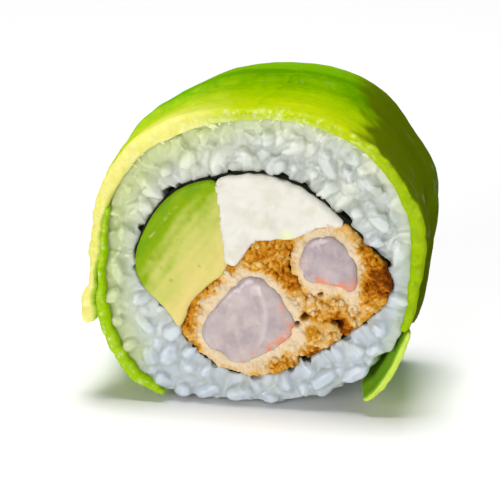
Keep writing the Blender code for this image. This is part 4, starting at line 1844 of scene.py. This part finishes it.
@dataclass
class ToppingSlice:
    """One thin slice of avocado laid over the rice."""

    node: str
    finish: SliceFinish
    voxel: float = 0.24
    undulation: float = 0.3
    raggedness: float = 0.32
    ruffle: float = 0.15
    squeezed: float = 0.0
    laps: float = 0.0
    seam_side: int = 0
    end_reach: float = 0.2
    thinnest: float = 0.55
    thin_from: float = 1.8
    let_out: float = 0.14
    lap_from: tuple[float, float] = (158.0, 178.0)
    right_tones: tuple[float, float] = (30.0, 62.0)
    left_tones: tuple[float, float] = (96.0, 124.0)
    low_right: tuple[float, float] = (10.0, 40.0)
    low_left: tuple[float, float] = (150.0, 172.0)
    flecks_from: tuple[float, float] = (58.0, 76.0)
    flecks_until: tuple[float, float] = (135.0, 155.0)
    rim_lip: float = 0.12
    fibre_height: float = 0.04
    seam_reach: float = 0.8
    bright_rim: float = 1.0
    shaded: tuple[float, float] | None = None
    waves: tuple[Ripple, ...] = (Ripple(1.0, 3.2, 11.0, (4.0, 1, 9)), Ripple(0.4, 1.5, 16.0, (2.5, 1, 9)))
    ruffles: tuple[Ripple, ...] = (Ripple(1.0, 2.8, 23.0, (1, 9, 9)), Ripple(0.5, 1.0, 24.0, (1, 9, 9)))
    lap_edges: tuple[Ripple, ...] = (Ripple(0.5, 2.4, 28.0, (1, 9, 9)), Ripple(0.4, 0.8, 29.0, (1, 9, 9)))
    tears: tuple[Ripple, ...] = (Ripple(1.0, 1.2, 14.0, (1, 9, 1)), Ripple(0.5, 0.45, 17.0, (1, 9, 1)))
    mottle: tuple[Ripple, ...] = (Ripple(7.0, 4.0, 15.0), Ripple(3.0, 1.3, 20.0))

    def build(self, walls: RingWalls) -> bpy.types.Object:
        """Builds and dresses the slice.

        Args:
            walls: The rice ring's walls.

        Returns:
            The slice as one piece.
        """
        piece = copy_of_solid(self.node, f"{self.node}_slice")
        remesh(piece, self.voxel, rounds=3)
        skin = SliceSkin(read_points(piece), read_normals(piece), walls)
        self._shape(skin)
        write_points(piece, skin.points)
        self._keep_looks(piece, skin)
        self.finish.dress(piece)
        place(piece, "avocado_slice", self.node)
        return piece

    def _shape(self, skin: SliceSkin) -> None:
        """Gives the slice its swells, lapping ends and ragged rim.

        Args:
            skin: The slice's vertices, which are moved.
        """
        outer = smoothstep(skin.outward, 0.1, 0.7)
        lip = skin.rim * (self.rim_lip + 0.08 * wavy(skin.points, 1.0, 34.0))
        lift = self.let_out + lip + self.fibre_height * (skin.fibre - 0.5) * outer
        lift = lift + self.end_reach * smoothstep(skin.facing_end, 0.6, 0.9)
        lift += outer * self.undulation * uneven(skin.around, self.waves)
        skin.points = skin.points + skin.normals * lift[:, None]
        thick = skin.thickness()
        swell = self._swell(skin.angle, skin.y) * smoothstep(skin.outward, -0.4, 0.6)
        swell = np.maximum(swell, np.minimum(0.0, self.thinnest - thick))
        swell += skin.rim * self.ruffle * uneven(skin.around, self.ruffles)
        lapped = self.laps * smoothstep(skin.angle, *self.lap_from)
        edge_in, edge_out = self.lap_edges
        lapped *= 1 + edge_in.at(skin.around) + edge_out.at(skin.around)
        near_face = smoothstep(-skin.y, 8.5, 11.5)
        swell += (self.squeezed - lapped) * (1 - np.minimum(thick / self.thin_from, 1.0)) * near_face
        skin.move_out(swell)
        skin.move_round(self._over_seam(skin.angle, skin.y))
        skin.points[:, 1] -= skin.rim * self.raggedness * (uneven(skin.around, self.tears) + 0.1)
        skin.points[:, 2] = np.maximum(skin.points[:, 2], 0.0)

    def _keep_looks(self, piece: bpy.types.Object, skin: SliceSkin) -> None:
        """Keeps what the finish reads on the slice: place, fibres, shade and smears.

        Args:
            piece: The slice.
            skin: Its vertices, after they were moved.
        """
        store(piece, "across", np.clip(skin.across, 0, 1))
        store(piece, "fibre", skin.fibre)
        store(piece, "inside", smoothstep(-skin.normals[:, 1], 0.45, 0.85) * skin.rim)
        bearing = skin.angle + 5.0 * wavy(skin.points, 3.0, 18.0)
        store(piece, "left", smoothstep(bearing, *self.left_tones))
        store(piece, "right", 1 - smoothstep(bearing, *self.right_tones))
        low = np.maximum(smoothstep(bearing, *self.low_left), 1 - smoothstep(bearing, *self.low_right))
        store(piece, "underneath", smoothstep(-skin.outward, 0.15, 0.6) * low)
        at_top = smoothstep(bearing, *self.flecks_from) * (1 - smoothstep(bearing, *self.flecks_until))
        near_rice = (1 - smoothstep(skin.height, 0.6, 2.4)) * (1 - smoothstep(skin.y, -11.6, -9.6))
        store(piece, "scratch", self._flecks(skin) * near_rice * at_top)
        reach = np.maximum(skin.height, 0.0) + skin.y - skin.front
        store(piece, "shaded", self._shade(skin.angle, reach, skin.points))

    @staticmethod
    def _flecks(skin: SliceSkin) -> np.ndarray:
        """Where the slice has pale flecks, and the pale line along its cut.

        Args:
            skin: The slice's vertices, after they were moved.

        Returns:
            Numbers from 0 to 1.
        """
        around = skin.around
        slanted = around + wavy(around, 2.5, 27.0)[:, None]
        streaks = wavy(slanted, 0.34, 25.0, (1, 2.5, 2.5)) + 0.8 * wavy(around, 2.2, 26.0)
        line = 1 - smoothstep(skin.height + 0.4 * wavy(around, 0.8, 30.0), 0.1, 1.0)
        return np.maximum(smoothstep(streaks, 0.0, 0.6), 0.7 * line)

    @staticmethod
    def _swell(angle: np.ndarray, y: np.ndarray) -> np.ndarray:
        """How far the topping stands out at each vertex.

        Args:
            angle: Each vertex's direction in degrees.
            y: Its place along the roll.

        Returns:
            Heights in millimetres.
        """
        height = np.zeros(len(angle))
        for swell in SWELLS:
            across, along = (angle - swell.angle) / swell.wide, (y - swell.y) / swell.long
            height += swell.height * np.exp(-across ** 2 - along ** 2)
        return height

    def _over_seam(self, angle: np.ndarray, y: np.ndarray) -> np.ndarray:
        """How far each vertex moves round the roll, so that the slice's end laps over its neighbour.

        Args:
            angle: Each vertex's direction in degrees.
            y: Its place along the roll.

        Returns:
            Lengths in millimetres, along rising directions.
        """
        marks = np.linspace(y.min(), y.max(), 30)
        ends = [(self.seam_side * angle[np.abs(y - mark) < 1.0]).max() for mark in marks]
        from_end = np.interp(y, marks, ends) - self.seam_side * angle
        return self.seam_side * self.seam_reach * (1 - smoothstep(from_end, 1.5, 8.0))

    def _shade(self, angle: np.ndarray, reach: np.ndarray, points: np.ndarray) -> np.ndarray:
        """How far the slice is darkened on its far side, behind the bright rim.

        Args:
            angle: Each vertex's direction in degrees.
            reach: How far it lies from the rice's edge, over the rim, in millimetres.
            points: The vertices in millimetres.

        Returns:
            Numbers from 0 to 1.
        """
        if self.shaded is None:
            return np.zeros(len(angle))
        start, full = self.shaded
        mottled = uneven(points, self.mottle)
        lean = 8.0 * smoothstep(points[:, 1], -8.0, 6.0)
        rim = self.bright_rim * (1.2 + 1.5 * smoothstep(-angle, -40.0, 2.0) + 0.5 * wavy(points, 1.8, 19.0))
        patch = np.exp(-((angle - 11.0) / 9.0) ** 2) * smoothstep(points[:, 1], -1.0, 2.5)
        dark = (1 - smoothstep(angle + mottled - lean, full, start)) * smoothstep(reach - rim, 0.0, 0.5)
        return dark * (1 - 0.6 * patch)


@dataclass
class RimFlecks:
    """Soft shreds of avocado smeared where the cut rim meets the rice."""

    walls: RingWalls
    stretches: tuple[tuple[float, float, int], ...] = ((42.0, 60.0, 10), (66.0, 108.0, 26),
                                                       (108.0, 145.0, 12))
    voxel: float = 0.13
    seed: int = 31
    finish: SliceFinish = SliceFinish(
        top=Tones((0.64, 0.72, 0.34), (0.66, 0.73, 0.38), (0.72, 0.76, 0.50), (0.56, 0.66, 0.20)),
        left=Tones((0.76, 0.78, 0.46), (0.76, 0.78, 0.46), (0.74, 0.76, 0.38), (0.79, 0.80, 0.58)))

    def build(self) -> bpy.types.Object:
        """Builds and dresses the shreds.

        Returns:
            The shreds as one piece.
        """
        draw = np.random.default_rng(self.seed)
        mesh, lumps = bmesh.new(), Lumps(subdivisions=2)
        for start, end, count in self.stretches:
            for _ in range(count):
                angle = draw.uniform(start, end)
                radius = self.walls.outside(angle, -HALF_LENGTH + 2.5) + draw.normal(0.2, 0.25)
                middle = Vector(self.walls.point(angle, radius, -HALF_LENGTH - draw.uniform(-0.1, 0.15)))
                course = angle + draw.choice((0.0, 90.0)) + draw.normal(0, 25)
                turn = Matrix.Rotation(-math.radians(course), 3, "Y")
                reach = Vector((draw.uniform(0.3, 0.75), 0.18, draw.uniform(0.13, 0.22)))
                lumps.add(mesh, middle, turn, reach, draw.uniform(0.8, 1.2, len(lumps.corners)))
        piece = new_piece("avocado_shreds", mesh)
        remesh(piece, self.voxel, rounds=1)
        points, normals = read_points(piece), read_normals(piece)
        write_points(piece, points + normals * (0.08 * wavy(points, 0.4, 32.0))[:, None])
        angle = np.array([self.walls.polar(x, z)[1] for x, _, z in points])
        store(piece, "across", 0.5 + 0.5 * wavy(points, 1.1, 33.0))
        store(piece, "fibre", np.full(len(points), 0.5))
        store(piece, "inside", np.zeros(len(points)))
        store(piece, "left", smoothstep(angle, 92.0, 120.0))
        for name in ("right", "scratch", "shaded", "underneath"):
            store(piece, name, np.zeros(len(points)))
        self.finish.dress(piece)
        place(piece, "avocado_slice")
        return piece


@dataclass
class Topping:
    """All the avocado slices over the rice, and the shreds along their cut rim."""

    walls: RingWalls

    def slices(self) -> list[ToppingSlice]:
        """The slices with their own tones.

        Returns:
            One entry for each slice, in the order in which they are built.
        """
        over, behind = SliceFinish(), SliceFinish(DARK_AND_SHADED_TONES, LEAF_TONES, LEAF_TONES)
        under = SliceFinish(GREEN_TONES, GREEN_TONES, GREEN_TONES)
        tip = SliceFinish(TIP_TONES, TIP_TONES, TIP_TONES, underneath=(0.12, 0.33, 0.0))
        return [ToppingSlice("avocado_left", over, laps=1.1, seam_side=-1),
                ToppingSlice("avocado_right", over, shaded=(58.0, 46.0), seam_side=1),
                ToppingSlice("avocado_back", behind, shaded=(66.0, 42.0), bright_rim=0.0, undulation=0.2),
                ToppingSlice("avocado_lower_left", under, ruffle=0.12, laps=0.6, raggedness=0.45),
                ToppingSlice("avocado_lower_right", tip, squeezed=0.9)]

    def build(self) -> None:
        """Builds and dresses every slice and the shreds."""
        for each in self.slices():
            each.build(self.walls)
        RimFlecks(self.walls).build()


@dataclass(frozen=True)
class Lamp:
    """A soft square light: its place and side in metres, its power in watts and its colour."""

    name: str
    spot: Spot
    size: float
    power: float
    color: Color

    def hang(self) -> None:
        """Adds the light to the scene, so that it faces the roll."""
        data = bpy.data.lights.new(self.name, "AREA")
        data.size = self.size
        data.energy = self.power
        data.color = self.color
        lamp = bpy.data.objects.new(self.name, data)
        lamp.location = self.spot
        lamp.rotation_mode = "QUATERNION"
        aim = Vector((0, 0, ROLL_CENTRE[1] * MM)) - Vector(self.spot)
        lamp.rotation_quaternion = aim.to_track_quat("-Z", "Y")
        bpy.context.scene.collection.objects.link(lamp)


@dataclass
class Studio:
    """The camera, the soft lights and the pale floor."""

    azimuth: float = 10.0
    elevation: float = 18.6
    distance: float = 285.0
    target: tuple[float, float, float] = (-0.99, -12.0, 24.45)
    lens: float = 143.6
    floor_size: float = 3000.0
    lamps: tuple[Lamp, ...] = (Lamp("key", (-0.28, -0.75, 0.19), 0.45, 3.8, (1.0, 0.98, 0.95)),
                               Lamp("fill", (0.60, -0.60, 0.20), 0.60, 1.1, (0.92, 0.96, 1.0)),
                               Lamp("top", (-0.03, 0.10, 1.6), 0.64, 23.5, (1.0, 1.0, 1.0)))
    sky: Color = (0.97, 0.98, 1.0)
    sky_strength: float = 0.12

    def _camera(self) -> None:
        """Puts the camera at the photo's angle."""
        data = bpy.data.cameras.new("camera")
        data.lens = self.lens
        data.clip_start, data.clip_end = 0.01, 20.0
        camera = bpy.data.objects.new("camera", data)
        a, e = math.radians(self.azimuth), math.radians(self.elevation)
        back = Vector((math.sin(a) * math.cos(e), -math.cos(a) * math.cos(e), math.sin(e)))
        camera.location = (Vector(self.target) + back * self.distance) * MM
        camera.rotation_mode = "QUATERNION"
        camera.rotation_quaternion = (-back).to_track_quat("-Z", "Y")
        bpy.context.scene.collection.objects.link(camera)
        bpy.context.scene.camera = camera

    def _floor(self) -> None:
        """Lays the floor."""
        mesh = bmesh.new()
        bmesh.ops.create_grid(mesh, x_segments=8, y_segments=8, size=self.floor_size / 2)
        floor = new_piece("floor", mesh)
        FloorFinish().dress(floor)
        log.info("floor laid")

    def build(self) -> None:
        """Sets up the whole studio."""
        self._camera()
        for lamp in self.lamps:
            lamp.hang()
        self._floor()
        scene = bpy.context.scene
        scene.view_settings.view_transform = "Standard"
        world = bpy.data.worlds.new("studio")
        scene.world = world
        world.use_nodes = True
        sky = world.node_tree.nodes["Background"]
        sky.inputs[0].default_value = (*self.sky, 1.0)
        sky.inputs[1].default_value = self.sky_strength


def fried_shrimp() -> list[FriedShrimp]:
    """The two shrimp of the filling, with what the cut shows of each.

    Returns:
        The lower and the upper shrimp.
    """
    lower = FriedShrimp(
        "lower", skin_side=(0.80, -0.60), seam_centre=(-9.0, 14.5), seam_radius=10.4,
        browned=((1.5, 24.0, 5.5, 0.36), (5.0, 20.5, 3.0, 0.35), (-11.0, 14.0, 3.4, 0.42),
                 (-9.5, 10.0, 3.5, 0.2), (3.5, 6.6, 2.6, 0.3), (8.0, 9.2, 2.4, 0.25),
                 (5.6, 10.8, 2.6, -0.3)),
        pits=((6.9, 14.6, 0.55), (5.9, 13.4, 0.35), (6.6, 7.9, 0.7)), seed=5)
    upper = FriedShrimp(
        "upper", skin_side=(-0.25, -0.97), seam_centre=(30.0, 60.0), seam_radius=10.0,
        browned=((17.0, 20.5, 4.5, 0.62), (19.0, 21.5, 1.8, 0.25), (11.9, 13.6, 3.0, 0.6),
                 (6.0, 22.0, 2.4, 0.45), (15.8, 25.0, 2.2, 0.25), (16.6, 15.6, 2.0, -0.12)),
        pits=((11.9, 13.8, 0.8), (9.2, 18.2, 0.35)), crumb_tries=5200, most_triangles=100000, seed=9,
        flesh_finish=ShrimpFinish(pale=(0.50, 0.41, 0.42), grey=(0.38, 0.30, 0.33)))
    return [lower, upper]


def main() -> None:
    """Builds the roll's pieces in order."""
    logging.basicConfig(level=logging.INFO, format="%(asctime)s %(message)s")
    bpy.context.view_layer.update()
    Studio().build()
    walls = RingWalls()
    Rice(walls).build()
    Nori().build()
    AvocadoWedge().build()
    CreamCheese().build()
    for shrimp in fried_shrimp():
        shrimp.build()
    Topping(walls).build()


if __name__ == "__main__":
    main()
